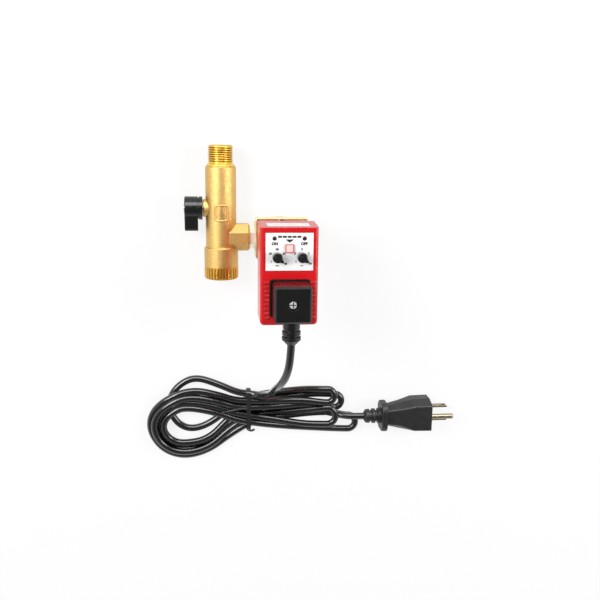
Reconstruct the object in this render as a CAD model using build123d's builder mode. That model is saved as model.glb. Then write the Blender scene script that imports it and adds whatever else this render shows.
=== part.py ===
from build123d import *
import os
from math import cos, pi, radians, sin, tan

os.makedirs("parts", exist_ok=True)

# Automatic drain valve for compressed air: a ball valve with a strainer, a solenoid
# valve with a timer, and a mains cord.  It lies on its back with the timer panel up.
# Lengths are millimetres.  +Y runs toward the inlet thread, +Z away from the table.
# Places are given from the crossing of the flow axis and the solenoid axis.

# ---------------------------------------------------------------- driving dimensions
# strainer with ball valve, its axis along Y
strainer_offset = 50.8        # from the solenoid axis to the strainer axis
body_radius = 12.9
body_top = 59.5
body_step = -8.1              # where the body widens
lower_radius = 14.4
cap_height = 10.5
cap_top = -25.0
screen_radius = 8.2
screen_wall = 0.5
inlet_thread_radius = 10.478  # G 1/2
inlet_thread_length = 13.4
inlet_neck = 3.9
inlet_bore_radius = 6.0
socket_depth = 13.0
ball_y = 24.4
ball_radius = 8.0
ball_bore_radius = 5.0
seat_thickness = 4.0
stem_radius = 3.0
stem_boss_radius = 7.5
stem_boss_reach = 15.2
outlet_boss_flats = 22.4
outlet_boss_reach = 24.0
cap_ribs = 32

# ball valve lever
hub_radius = 9.8
hub_length = 3.8
hub_groove_width = 1.0
hub_groove_depth = 0.8
lever_thickness = 11.2
lever_length = 18.9
lever_width = 9.4
lever_screw_radius = 3.7
lever_screw_proud = 0.6

# nipple between strainer and solenoid valve
port_thread_radius = 8.33     # G 3/8
port_thread_length = 9.0
nipple_flats = 17.0
nipple_bore_radius = 4.5

# solenoid valve
valve_width = 44.6
valve_depth = 34.8
port_bar_flats = 26.0
valve_corner = 2.5
valve_top = 9.4
bonnet_thickness = 3.5
chamber_radius = 9.0
chamber_floor = 1.0
nozzle_radius = 3.4
nozzle_height = 3.0
orifice_radius = 2.0
passage_radius = 2.5
tube_radius = 6.5
tube_wall = 0.9
tube_top = 47.0
core_length = 13.0
stud_radius = 4.0
stud_length = 6.5
plunger_stroke = 2.0
bonnet_screw_radius = 2.0
bonnet_screw_y = 13.9

# coil
barrel_width = 32.0
barrel_depth = 30.0
barrel_wall = 1.8
coil_bottom = 16.6
yoke_thickness = 2.0
winding_radius = 11.4

# timer housing
box_width = 45.0
box_bottom = -60.0
box_top_back = 18.4
box_top_front = 16.4
box_back = 46.0
box_split = 54.0
box_front = 76.0
box_wall = 2.3
panel_wall = 3.2
corner_radius = 3.4
label_width = 36.6
label_height = 29.0
label_y = -2.1
label_thickness = 0.5
knob_spacing = 19.0
knob_y = -6.1
knob_radius = 3.9
knob_height = 6.0
knob_beak = 6.3
knob_rest_angle = -39.0       # the beak points to the lower right at rest
led_spacing = 23.0
led_y = 8.1
led_radius = 1.6
button_y = 0.5
button_size = 5.6
button_travel = 0.8
rib_count = 9
rib_pitch = 3.45
rib_top = -26.2
rib_width = 4.4
rib_height = 1.6
rib_proud = 0.8
board_z = 60.0
board_thickness = 1.6
relay_width = 11.0
relay_length = 9.0
relay_height = 6.5
capacitor_radius = 4.0
chip_width = 8.0
chip_length = 6.0
chip_height = 2.0

# mains connector
connector_x = 0.5
connector_y = -38.4
connector_size = 28.0
connector_top = 103.0
connector_wall = 2.2
recess_width = 31.2
recess_height = 30.0
recess_depth = 1.6
base_thickness = 2.6
gasket_thickness = 1.3
relief_z = 89.5
relief_radius = 6.95
relief_length = 19.2

# mains cord and plug
cord_diameter = 6.2
hank_height = 13.0
tie_width = 3.8
tie_thickness = 1.1
plug_x = 169.2                # middle of the plug's face, from the part's origin
plug_y = -168.9
plug_z = 12.0
plug_turn = 0.0
plug_width = 31.0
plug_face_width = 24.0
plug_height = 24.0
blade_spacing = 12.7
blade_length = 18.0
blade_width = 6.35
blade_thickness = 1.5
pin_offset = 11.9
pin_radius = 2.4
pin_shank_radius = 1.9        # inside the moulding
pin_length = 21.3

# clearances
fit = 0.1                     # between pieces that stay put
running = 0.05                # round a shaft, stem, ball or plunger

# ------------------------------------------------------------------- derived places
table_z = -lower_radius       # the strainer and the valve foot stand on the table
lever_reach = stem_boss_reach + 0.3 + hub_length + lever_thickness + lever_screw_proud
inlet_end = body_top + inlet_neck + inlet_thread_length
relief_end = connector_y - connector_size / 2 - relief_length

# the part's origin is the middle of its footprint, at table height
valve_x = (strainer_offset + lever_reach - box_width / 2) / 2
valve_y = -(inlet_end + relief_end) / 2
valve_z = -table_z


def spot(x, y, z):
    """Point of the part's frame, given from the crossing of the two axes."""
    return Vector(valve_x + x, valve_y + y, valve_z + z)


def level(x, y, z):
    """Sketch plane facing up: sketch x is X, sketch y is Y."""
    return Plane(origin=spot(x, y, z), x_dir=(1, 0, 0), z_dir=(0, 0, 1))


def upright(x, y, z):
    """Sketch plane facing -Y: sketch x is X, sketch y is Z."""
    return Plane(origin=spot(x, y, z), x_dir=(1, 0, 0), z_dir=(0, -1, 0))


def sideways(x, y, z):
    """Sketch plane facing +X: sketch x is Y, sketch y is Z."""
    return Plane(origin=spot(x, y, z), x_dir=(0, 1, 0), z_dir=(1, 0, 0))


def toward_left(x, y, z):
    """Sketch plane facing -X: sketch x is -Y, sketch y is Z."""
    return Plane(origin=spot(x, y, z), x_dir=(0, -1, 0), z_dir=(-1, 0, 0))


def outline(plane, *points):
    """Closed straight-sided face on a plane."""
    with BuildSketch(plane) as shape:
        with BuildLine():
            Polyline(*points, close=True)
        make_face()
    return shape.sketch


def disc(plane, radius):
    """Round face on a plane."""
    with BuildSketch(plane) as shape:
        Circle(radius)
    return shape.sketch


def plate(plane, width, height, corner=0.0):
    """Rectangular face on a plane, with round corners if asked."""
    with BuildSketch(plane) as shape:
        if corner > 0:
            RectangleRounded(width, height, corner)
        else:
            Rectangle(width, height)
    return shape.sketch


def flats(plane, across, sides, turn=0.0):
    """Regular polygon face, given across its flats."""
    with BuildSketch(plane) as shape:
        RegularPolygon(across / 2, sides, major_radius=False, rotation=turn)
    return shape.sketch


# ============================================================ strainer and ball valve
strainer_section = level(-strainer_offset, 0, 0)            # radius along x, height along y
strainer_axis = Axis(spot(-strainer_offset, 0, 0), (0, 1, 0))
ball_axis = Axis(spot(-strainer_offset, ball_y, 0), (1, 0, 0))

socket_radius = inlet_thread_radius + fit
socket_floor = body_top - socket_depth
ball_chamber_radius = ball_radius + 1.2
lower_seat = ball_y - ball_radius - 0.4
upper_seat = 2 * ball_y - lower_seat
screen_chamber_radius = screen_radius + 2.6
screen_top = lower_seat - 3.4
spigot_radius = screen_chamber_radius + 1.4
spigot_length = 9.0
stem_hole_radius = stem_radius + running
collar_radius = stem_radius + 1.3
collar_thickness = 1.6
outlet_hole_depth = port_thread_length + 0.6

with BuildPart() as strainer_body:
    revolve(outline(
        strainer_section,
        (0, cap_top), (lower_radius, cap_top), (lower_radius, body_step - 1.0),
        (lower_radius - 1.0, body_step), (body_radius, body_step),
        (body_radius, body_top - 1.0), (body_radius - 1.0, body_top), (0, body_top)),
        axis=strainer_axis)
    # octagonal outlet boss with its corners turned off
    extrude(flats(sideways(-strainer_offset, 0, 0), outlet_boss_flats, 8, 22.5),
            amount=outlet_boss_reach)
    boss_end = strainer_body.faces().sort_by(Axis.X)[-1]
    chamfer(boss_end.edges(), 1.3)
    # boss for the ball valve's stem
    extrude(disc(toward_left(-strainer_offset, ball_y, 0), stem_boss_radius),
            amount=stem_boss_reach)
    stem_boss_end = strainer_body.faces().sort_by(Axis.X)[0]
    chamfer(stem_boss_end.edges(), 0.6)
    # inlet socket, ball chamber, port under the ball, screen chamber and cap thread
    revolve(outline(
        strainer_section,
        (0, body_top), (socket_radius, body_top), (socket_radius, socket_floor),
        (ball_chamber_radius, socket_floor), (ball_chamber_radius, lower_seat),
        (ball_bore_radius, lower_seat), (ball_bore_radius, screen_top),
        (screen_chamber_radius, screen_top),
        (screen_chamber_radius, cap_top + spigot_length + 0.6),
        (spigot_radius + fit, cap_top + spigot_length + 0.6),
        (spigot_radius + fit, cap_top), (0, cap_top)),
        axis=strainer_axis, mode=Mode.SUBTRACT)
    # stem hole with the seat of its collar
    extrude(disc(toward_left(-strainer_offset, ball_y, 0), stem_hole_radius),
            amount=stem_boss_reach, mode=Mode.SUBTRACT)
    extrude(disc(toward_left(-strainer_offset, ball_y, 0), collar_radius + fit),
            amount=ball_chamber_radius + collar_thickness, mode=Mode.SUBTRACT)
    # thread for the nipple, and the way to it from the screen chamber
    extrude(disc(sideways(-strainer_offset, 0, 0), nipple_bore_radius),
            amount=outlet_boss_reach, mode=Mode.SUBTRACT)
    extrude(disc(toward_left(-strainer_offset + outlet_boss_reach, 0, 0),
                 port_thread_radius + fit),
            amount=outlet_hole_depth, mode=Mode.SUBTRACT)
strainer_body.part.label = "strainer_body"
export_step(strainer_body.part, "parts/strainer_body.step")

# inlet nipple: screwed into the body, it also holds the upper seat
with BuildPart() as inlet_nipple:
    revolve(outline(
        strainer_section,
        (inlet_bore_radius, upper_seat), (ball_chamber_radius - fit, upper_seat),
        (ball_chamber_radius - fit, socket_floor + 1.0),
        (inlet_thread_radius, socket_floor + 1.0), (inlet_thread_radius, body_top - 1.2),
        (inlet_thread_radius - 0.9, body_top - 0.3),
        (inlet_thread_radius - 0.9, body_top + inlet_neck - 0.8),
        (inlet_thread_radius, body_top + inlet_neck), (inlet_thread_radius, inlet_end - 1.2),
        (inlet_thread_radius - 1.2, inlet_end), (inlet_bore_radius + 1.0, inlet_end),
        (inlet_bore_radius, inlet_end - 1.0)),
        axis=strainer_axis)
inlet_nipple.part.label = "inlet_nipple"
export_step(inlet_nipple.part, "parts/inlet_nipple.step")

# ball with its bore and the slot for the stem's tang
slot_width = 3.6
slot_depth = 2.4
with BuildPart() as valve_ball:
    with BuildSketch(strainer_section) as ball_half:
        with BuildLine():
            CenterArc((0, ball_y), ball_radius, -90, 180)
            Line((0, ball_y - ball_radius), (0, ball_y + ball_radius))
        make_face()
    revolve(axis=strainer_axis)
    extrude(disc(Plane(origin=spot(-strainer_offset, ball_y - ball_radius, 0),
                       x_dir=(1, 0, 0), z_dir=(0, 1, 0)), ball_bore_radius),
            amount=2 * ball_radius, mode=Mode.SUBTRACT)
    extrude(plate(toward_left(-strainer_offset - ball_radius + slot_depth, ball_y, 0),
                  slot_width, 2 * ball_radius),
            amount=slot_depth, mode=Mode.SUBTRACT)
valve_ball.part.label = "valve_ball"
export_step(valve_ball.part, "parts/valve_ball.step")

# seats: a plastic ring on each side of the ball, hollowed to the ball's radius
seat_radius = ball_chamber_radius - fit
with BuildPart() as ball_seats:
    for seat_end, inward in ((lower_seat, 1), (upper_seat, -1)):
        revolve(outline(
            strainer_section,
            (ball_bore_radius + 0.4, seat_end), (seat_radius, seat_end),
            (seat_radius, seat_end + inward * seat_thickness),
            (ball_bore_radius + 0.4, seat_end + inward * seat_thickness)),
            axis=strainer_axis)
    with Locations(spot(-strainer_offset, ball_y, 0)):
        Sphere(ball_radius + running, mode=Mode.SUBTRACT)
ball_seats.part.label = "ball_seats"
export_step(ball_seats.part, "parts/ball_seats.step")

# stem: tang in the ball's slot, collar against blowing out, two ring grooves, square end
stem_section = Plane(origin=spot(-strainer_offset, ball_y, 0), x_dir=(-1, 0, 0),
                     z_dir=(0, 0, 1))               # distance from the ball along x
collar_start = ball_chamber_radius
groove_depth = 0.9
groove_places = (11.6, 13.6)
groove_width = 1.3
hub_start = stem_boss_reach + 0.3
stem_end = hub_start + hub_length + lever_thickness * 0.45
with BuildPart() as ball_stem:
    extrude(plate(toward_left(-strainer_offset - ball_radius + slot_depth - 0.2, ball_y, 0),
                  slot_width - 0.2, 2 * stem_radius),
            amount=collar_start - ball_radius + slot_depth - 0.2)
    revolve(outline(
        stem_section,
        (collar_start, 0), (collar_start, collar_radius),
        (collar_start + collar_thickness - running, collar_radius),
        (collar_start + collar_thickness - running, stem_radius), (stem_end, stem_radius),
        (stem_end, 0)),
        axis=ball_axis)
    for place in groove_places:
        revolve(outline(
            stem_section,
            (place, stem_radius - groove_depth), (place, stem_radius + 0.2),
            (place + groove_width, stem_radius + 0.2),
            (place + groove_width, stem_radius - groove_depth)),
            axis=ball_axis, mode=Mode.SUBTRACT)
    # two flats that the lever turns the stem by
    for side in (-1, 1):
        extrude(plate(toward_left(-strainer_offset - hub_start, ball_y,
                                  side * stem_radius), 2 * stem_radius + 1, stem_radius * 0.6),
                amount=stem_end - hub_start + 1, mode=Mode.SUBTRACT)
ball_stem.part.label = "ball_stem"
export_step(ball_stem.part, "parts/ball_stem.step")

# rubber rings in the stem's grooves
ring_section = (groove_depth - running) / 2
with BuildPart() as stem_rings:
    for place in groove_places:
        with Locations(Location(spot(-strainer_offset - place - groove_width / 2, ball_y, 0),
                                (0, 90, 0))):
            Torus(stem_radius - ring_section - 0.02, ring_section)
stem_rings.part.label = "stem_rings"
export_step(stem_rings.part, "parts/stem_rings.step")

# lever: round hub, thicker grip with an arm pointing down the body
grip_start = hub_start + hub_length
grip_end = grip_start + lever_thickness
with BuildPart() as lever_handle:
    extrude(disc(toward_left(-strainer_offset - hub_start, ball_y, 0), hub_radius),
            amount=hub_length)
    with BuildSketch(toward_left(-strainer_offset - grip_start, ball_y, 0)) as grip:
        Circle(hub_radius)
        with BuildLine():
            arm_tip = lever_length - 1.5
            root = hub_radius * 0.94
            Polyline((0, root), (arm_tip, lever_width / 2), (lever_length, lever_width / 2 - 1.5),
                     (lever_length, -lever_width / 2 + 1.5), (arm_tip, -lever_width / 2),
                     (0, -root), close=True)
        make_face()
    extrude(amount=lever_thickness)
    fillet(lever_handle.faces().sort_by(Axis.X)[0].edges(), 1.0)
    # groove between hub and grip
    with BuildSketch(toward_left(-strainer_offset - grip_start, ball_y, 0)):
        Circle(hub_radius + 1)
        Circle(hub_radius - hub_groove_depth, mode=Mode.SUBTRACT)
    extrude(amount=-hub_groove_width, mode=Mode.SUBTRACT)
    # bore for the flatted stem
    extrude(disc(toward_left(-strainer_offset - hub_start, ball_y, 0), stem_radius + fit),
            amount=stem_end - hub_start + fit, mode=Mode.SUBTRACT)
    for side in (-1, 1):
        extrude(plate(toward_left(-strainer_offset - hub_start, ball_y,
                                  side * stem_radius), 2 * stem_radius + 0.4,
                      stem_radius * 0.6 - 2 * fit),
                amount=stem_end - hub_start + fit)
    # screw hole and the pocket for its head
    extrude(disc(toward_left(-strainer_offset - stem_end, ball_y, 0), 1.6),
            amount=grip_end - stem_end, mode=Mode.SUBTRACT)
    extrude(disc(sideways(-strainer_offset - grip_end, ball_y, 0), lever_screw_radius + fit),
            amount=2.0, mode=Mode.SUBTRACT)
lever_handle.part.label = "lever_handle"
export_step(lever_handle.part, "parts/lever_handle.step")

with BuildPart() as lever_screw:
    extrude(disc(sideways(-strainer_offset - grip_end - lever_screw_proud, ball_y, 0),
                 lever_screw_radius), amount=lever_screw_proud + 2.0)
    fillet(lever_screw.edges().sort_by(Axis.X)[0], 0.5)
    extrude(disc(sideways(-strainer_offset - grip_end + 2.0, ball_y, 0), 1.5),
            amount=grip_end - stem_end - 2.0)
    for turn in (0, 90):
        extrude(plate(sideways(-strainer_offset - grip_end - lever_screw_proud, ball_y, 0)
                      .rotated((0, 0, turn)), 3.6, 0.8), amount=1.0, mode=Mode.SUBTRACT)
lever_screw.part.label = "lever_screw"
export_step(lever_screw.part, "parts/lever_screw.step")

# screen sleeve between the port under the ball and the cap
screen_bottom = cap_top - cap_height + 4.0
with BuildPart() as strainer_screen:
    revolve(outline(
        strainer_section,
        (screen_radius - screen_wall, screen_bottom), (screen_radius, screen_bottom),
        (screen_radius, screen_top), (screen_radius - screen_wall, screen_top)),
        axis=strainer_axis)
strainer_screen.part.label = "strainer_screen"
export_step(strainer_screen.part, "parts/strainer_screen.step")

# cap: ribbed grip, threaded spigot with a ring groove, pocket for the screen
cap_bottom = cap_top - cap_height
rib_cut_depth = 0.7
cap_chamfer = 1.2
with BuildPart() as strainer_cap:
    revolve(outline(
        strainer_section,
        (0, cap_bottom), (lower_radius - cap_chamfer, cap_bottom),
        (lower_radius, cap_bottom + cap_chamfer),
        (lower_radius, cap_top), (spigot_radius - 1.5, cap_top),
        (spigot_radius - 1.5, cap_top + 2.2), (spigot_radius, cap_top + 2.2),
        (spigot_radius, cap_top + spigot_length - 0.8),
        (spigot_radius - 0.8, cap_top + spigot_length), (0, cap_top + spigot_length)),
        axis=strainer_axis)
    revolve(outline(
        strainer_section,
        (0, screen_bottom), (screen_radius + fit, screen_bottom),
        (screen_radius + fit, cap_top + spigot_length), (0, cap_top + spigot_length)),
        axis=strainer_axis, mode=Mode.SUBTRACT)
    # V grooves between the grip's ribs
    with BuildSketch(Plane(origin=spot(-strainer_offset, cap_bottom, 0), x_dir=(1, 0, 0),
                           z_dir=(0, 1, 0))) as grip_grooves:
        with PolarLocations(lower_radius, cap_ribs):
            RegularPolygon(rib_cut_depth, 4)
    extrude(amount=cap_height - 0.9, mode=Mode.SUBTRACT)
strainer_cap.part.label = "strainer_cap"
export_step(strainer_cap.part, "parts/strainer_cap.step")

with BuildPart() as cap_ring:
    with Locations(Location(spot(-strainer_offset, cap_top + 1.1, 0), (90, 0, 0))):
        Torus(spigot_radius - 0.72, 0.72)
cap_ring.part.label = "cap_ring"
export_step(cap_ring.part, "parts/cap_ring.step")

# ================================================================ nipple and solenoid
nipple_left = -strainer_offset + outlet_boss_reach
valve_left = -valve_width / 2
with BuildPart() as hex_nipple:
    extrude(flats(sideways(nipple_left, 0, 0), nipple_flats, 6),
            amount=valve_left - nipple_left)
    extrude(disc(sideways(nipple_left - port_thread_length, 0, 0), port_thread_radius),
            amount=valve_left - nipple_left + 2 * port_thread_length)
    thread_ends = hex_nipple.faces().filter_by(Axis.X).sort_by(Axis.X)
    chamfer(thread_ends[0].edges() + thread_ends[-1].edges(), 0.9)
    extrude(disc(sideways(nipple_left - port_thread_length, 0, 0), nipple_bore_radius),
            amount=valve_left - nipple_left + 2 * port_thread_length, mode=Mode.SUBTRACT)
hex_nipple.part.label = "hex_nipple"
export_step(hex_nipple.part, "parts/hex_nipple.step")

# forged body: port bar along the flow, round foot, square flange
bonnet_top = valve_top + bonnet_thickness
nozzle_top = chamber_floor + nozzle_height
port_depth = port_thread_length + 1.4
tube_flange_thickness = 2.4
bonnet_screw_places = [(0, bonnet_screw_y), (0, -bonnet_screw_y)]
with BuildPart() as valve_body:
    extrude(flats(sideways(valve_left, 0, 0), port_bar_flats, 8, 22.5), amount=valve_width)
    split(bisect_by=level(0, 0, valve_top), keep=Keep.BOTTOM)
    extrude(disc(level(0, 0, table_z), valve_depth / 2 - 1.0), amount=valve_top - table_z)
    extrude(plate(level(0, 0, valve_top - 5.0), valve_width, valve_depth, valve_corner),
            amount=5.0)
    # chamber with its nozzle, open at the top
    extrude(disc(level(0, 0, chamber_floor), chamber_radius),
            amount=valve_top - chamber_floor, mode=Mode.SUBTRACT)
    extrude(disc(level(0, 0, chamber_floor), nozzle_radius), amount=nozzle_height)
    # port threads
    for port_mouth, facing in ((valve_left, sideways), (-valve_left, toward_left)):
        extrude(disc(facing(port_mouth, 0, 0), port_thread_radius + fit),
                amount=port_depth, mode=Mode.SUBTRACT)
    # way in to the chamber, way out from the nozzle
    extrude(disc(sideways(valve_left, 0, chamber_floor + passage_radius + 0.4), passage_radius),
            amount=-valve_left - nozzle_radius - 1.0, mode=Mode.SUBTRACT)
    extrude(disc(toward_left(-valve_left, 0, -passage_radius - 2.0), passage_radius),
            amount=-valve_left, mode=Mode.SUBTRACT)
    extrude(disc(level(0, 0, -passage_radius - 2.0), orifice_radius),
            amount=nozzle_top + passage_radius + 2.0, mode=Mode.SUBTRACT)
    # screw threads
    for x, y in bonnet_screw_places:
        extrude(disc(level(x, y, valve_top - 6.0), bonnet_screw_radius + fit), amount=6.0,
                mode=Mode.SUBTRACT)
valve_body.part.label = "valve_body"
export_step(valve_body.part, "parts/valve_body.step")

with BuildPart() as bonnet_plate:
    extrude(plate(level(0, 0, valve_top), valve_width, valve_depth, valve_corner),
            amount=bonnet_thickness)
    fillet(bonnet_plate.faces().sort_by(Axis.Z)[-1].edges(), 0.6)
    extrude(disc(level(0, 0, valve_top), tube_radius + fit), amount=bonnet_thickness,
            mode=Mode.SUBTRACT)
    for x, y in bonnet_screw_places:
        extrude(disc(level(x, y, valve_top), bonnet_screw_radius + 0.2),
                amount=bonnet_thickness, mode=Mode.SUBTRACT)
bonnet_plate.part.label = "bonnet_plate"
export_step(bonnet_plate.part, "parts/bonnet_plate.step")

with BuildPart() as bonnet_screws:
    for x, y in bonnet_screw_places:
        extrude(disc(level(x, y, bonnet_top), bonnet_screw_radius + 1.2), amount=2.2)
        extrude(disc(level(x, y, valve_top - 5.4), bonnet_screw_radius),
                amount=bonnet_top - valve_top + 5.4)
        extrude(flats(level(x, y, bonnet_top + 1.0), 2.5, 6), amount=1.2, mode=Mode.SUBTRACT)
bonnet_screws.part.label = "bonnet_screws"
export_step(bonnet_screws.part, "parts/bonnet_screws.step")

# guide tube with its flange, under the bonnet
solenoid_section = upright(0, 0, 0)                          # radius along x, height along y
solenoid_axis = Axis(spot(0, 0, 0), (0, 0, 1))
tube_bore = tube_radius - tube_wall
flange_bottom = valve_top - tube_flange_thickness
with BuildPart() as guide_tube:
    revolve(outline(
        solenoid_section,
        (tube_bore, flange_bottom), (chamber_radius - fit, flange_bottom),
        (chamber_radius - fit, valve_top), (tube_radius, valve_top),
        (tube_radius, tube_top), (tube_bore, tube_top)),
        axis=solenoid_axis)
guide_tube.part.label = "guide_tube"
export_step(guide_tube.part, "parts/guide_tube.step")

# rubber ring under the tube's flange, on a step of its own
tube_ring_radius = 0.9
with BuildPart() as tube_ring:
    with Locations(spot(0, 0, flange_bottom - tube_ring_radius)):
        Torus(chamber_radius - tube_ring_radius - fit, tube_ring_radius)
tube_ring.part.label = "tube_ring"
export_step(tube_ring.part, "parts/tube_ring.step")

# fixed core: closes the tube and carries the stud for the coil's nut
core_bottom = tube_top - core_length
with BuildPart() as fixed_core:
    revolve(outline(
        solenoid_section,
        (0, core_bottom), (tube_bore - 0.8, core_bottom), (tube_bore, core_bottom + 0.8),
        (tube_bore, tube_top), (tube_radius, tube_top), (tube_radius, tube_top + 1.0),
        (stud_radius, tube_top + 1.0), (stud_radius, tube_top + stud_length - 0.8),
        (stud_radius - 0.8, tube_top + stud_length), (0, tube_top + stud_length)),
        axis=solenoid_axis)
fixed_core.part.label = "fixed_core"
export_step(fixed_core.part, "parts/fixed_core.step")

# plunger: slides in the tube, with a rubber seal on the nozzle and a spring in its head
seal_radius = nozzle_radius + 0.7
seal_thickness = 2.6
plunger_radius = tube_bore - running
plunger_bottom = nozzle_top + 0.6
plunger_top = core_bottom - plunger_stroke - 0.2
spring_pocket_radius = 3.2
spring_pocket_depth = 11.0
spring_bottom = plunger_top - spring_pocket_depth
with BuildPart() as plunger:
    revolve(outline(
        solenoid_section,
        (0, plunger_bottom), (plunger_radius - 0.5, plunger_bottom),
        (plunger_radius, plunger_bottom + 0.5), (plunger_radius, plunger_top),
        (0, plunger_top)), axis=solenoid_axis)
    extrude(disc(level(0, 0, spring_bottom), spring_pocket_radius),
            amount=spring_pocket_depth, mode=Mode.SUBTRACT)
    extrude(disc(level(0, 0, plunger_bottom), seal_radius + fit),
            amount=seal_thickness - 0.6, mode=Mode.SUBTRACT)
plunger.part.label = "plunger"
export_step(plunger.part, "parts/plunger.step")

with BuildPart() as plunger_seal:
    extrude(disc(level(0, 0, nozzle_top), seal_radius), amount=seal_thickness)
plunger_seal.part.label = "plunger_seal"
export_step(plunger_seal.part, "parts/plunger_seal.step")

# return spring between the plunger's pocket and the fixed core
spring_wire = 0.6
spring_radius = spring_pocket_radius - spring_wire / 2 - 0.25
spring_height = core_bottom - spring_bottom - spring_wire - 0.1
with BuildPart() as plunger_spring:
    with BuildLine() as spring_path:
        Helix(pitch=spring_height / 6, height=spring_height, radius=spring_radius,
              center=spot(0, 0, spring_bottom + spring_wire / 2 + 0.05))
    with BuildSketch(Plane(origin=spring_path.line @ 0, z_dir=spring_path.line % 0)):
        Circle(spring_wire / 2)
    sweep(path=spring_path.line, is_frenet=True)
plunger_spring.part.label = "plunger_spring"
export_step(plunger_spring.part, "parts/plunger_spring.step")

# ------------------------------------------------------------------------------- coil
coil_clear = barrel_wall + fit
yoke_width = barrel_width - 2 * coil_clear
yoke_bottom = coil_bottom + barrel_wall
yoke_top = box_back
tube_hole_radius = tube_radius + fit
with BuildPart() as coil_yoke:
    extrude(plate(level(0, 0, yoke_bottom), yoke_width, barrel_depth * 0.6),
            amount=yoke_top - yoke_bottom)
    window_height = yoke_top - yoke_bottom - 2 * yoke_thickness
    extrude(plate(level(0, 0, yoke_bottom + yoke_thickness), yoke_width - 2 * yoke_thickness,
                  barrel_depth), amount=window_height, mode=Mode.SUBTRACT)
    extrude(disc(level(0, 0, yoke_bottom), tube_hole_radius), amount=yoke_top,
            mode=Mode.SUBTRACT)
coil_yoke.part.label = "coil_yoke"
export_step(coil_yoke.part, "parts/coil_yoke.step")

bobbin_bottom = yoke_bottom + yoke_thickness
bobbin_top = yoke_top - yoke_thickness
bobbin_flange = 1.4
with BuildPart() as coil_bobbin:
    revolve(outline(
        solenoid_section,
        (tube_hole_radius, bobbin_bottom), (winding_radius + 0.4, bobbin_bottom),
        (winding_radius + 0.4, bobbin_bottom + bobbin_flange),
        (tube_hole_radius + 1.0, bobbin_bottom + bobbin_flange),
        (tube_hole_radius + 1.0, bobbin_top - bobbin_flange),
        (winding_radius + 0.4, bobbin_top - bobbin_flange),
        (winding_radius + 0.4, bobbin_top), (tube_hole_radius, bobbin_top)),
        axis=solenoid_axis)
coil_bobbin.part.label = "coil_bobbin"
export_step(coil_bobbin.part, "parts/coil_bobbin.step")

with BuildPart() as coil_winding:
    revolve(outline(
        solenoid_section,
        (tube_hole_radius + 1.0, bobbin_bottom + bobbin_flange),
        (winding_radius, bobbin_bottom + bobbin_flange),
        (winding_radius, bobbin_top - bobbin_flange),
        (tube_hole_radius + 1.0, bobbin_top - bobbin_flange)),
        axis=solenoid_axis)
coil_winding.part.label = "coil_winding"
export_step(coil_winding.part, "parts/coil_winding.step")

washer_bottom = max(yoke_top, tube_top + 1.0)
washer_thickness = 1.0
with BuildPart() as coil_washer:
    extrude(disc(level(0, 0, washer_bottom), 7.6), amount=washer_thickness)
    extrude(disc(level(0, 0, washer_bottom), stud_radius + fit), amount=washer_thickness,
            mode=Mode.SUBTRACT)
coil_washer.part.label = "coil_washer"
export_step(coil_washer.part, "parts/coil_washer.step")

with BuildPart() as coil_nut:
    nut_bottom = washer_bottom + washer_thickness
    nut_height = tube_top + stud_length - nut_bottom - 0.6
    extrude(flats(level(0, 0, nut_bottom), 13.0, 6), amount=nut_height)
    extrude(disc(level(0, 0, nut_bottom), stud_radius + fit), amount=nut_height,
            mode=Mode.SUBTRACT)
coil_nut.part.label = "coil_nut"
export_step(coil_nut.part, "parts/coil_nut.step")

# ====================================================================== timer housing
box_side = box_width / 2
screw_x = box_side - 3.7
screw_places = [(x, y) for x in (-screw_x, screw_x) for y in (box_bottom + 5.6, 10.6)]
screw_shank = 1.3
screw_head = 2.4
post_radius = 2.8


def box_block(bottom, top):
    """Part of the housing's outer block between two heights, its edges rounded."""
    with BuildPart() as block:
        extrude(outline(
            sideways(-box_side, 0, 0),
            (box_bottom, box_back), (box_top_back, box_back), (box_top_front, box_front),
            (box_bottom, box_front)), amount=box_width)
        lower_corners = block.edges().filter_by(Axis.Z).group_by(Axis.Y)[0]
        fillet(lower_corners, corner_radius)
        front_sides = block.faces().sort_by(Axis.Z)[-1].edges().filter_by(Axis.Y)
        fillet(front_sides, corner_radius * 0.75)
        split(bisect_by=level(0, 0, bottom), keep=Keep.TOP)
        split(bisect_by=level(0, 0, top), keep=Keep.BOTTOM)
    return block.part


inner_width = box_width - 2 * box_wall
inner_top = box_top_front - box_wall
inner_height = inner_top - box_bottom - box_wall
inner_middle = (inner_top + box_bottom + box_wall) / 2

with BuildPart() as rear_housing:
    add(box_block(box_back, box_split))
    # barrel round the coil
    extrude(plate(level(0, 0, coil_bottom), barrel_width, barrel_depth, 3.0),
            amount=box_back - coil_bottom)
    # room for the circuit board, room for the coil, hole for the guide tube
    extrude(plate(level(0, inner_middle, box_back + 2.0), inner_width, inner_height, 1.5),
            amount=box_split, mode=Mode.SUBTRACT)
    extrude(plate(level(0, 0, yoke_bottom), barrel_width - 2 * barrel_wall,
                  barrel_depth - 2 * barrel_wall, 1.5), amount=box_front, mode=Mode.SUBTRACT)
    extrude(disc(level(0, 0, coil_bottom), tube_hole_radius), amount=barrel_wall,
            mode=Mode.SUBTRACT)
    # posts for the screws, each with a pocket for the head
    for x, y in screw_places:
        extrude(disc(level(x, y, box_back), post_radius), amount=box_split - box_back)
        extrude(disc(level(x, y, box_back), screw_shank + 0.2), amount=box_split - box_back,
                mode=Mode.SUBTRACT)
        extrude(disc(level(x, y, box_back), screw_head + fit), amount=2.2, mode=Mode.SUBTRACT)
rear_housing.part.label = "rear_housing"
export_step(rear_housing.part, "parts/rear_housing.step")

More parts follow.
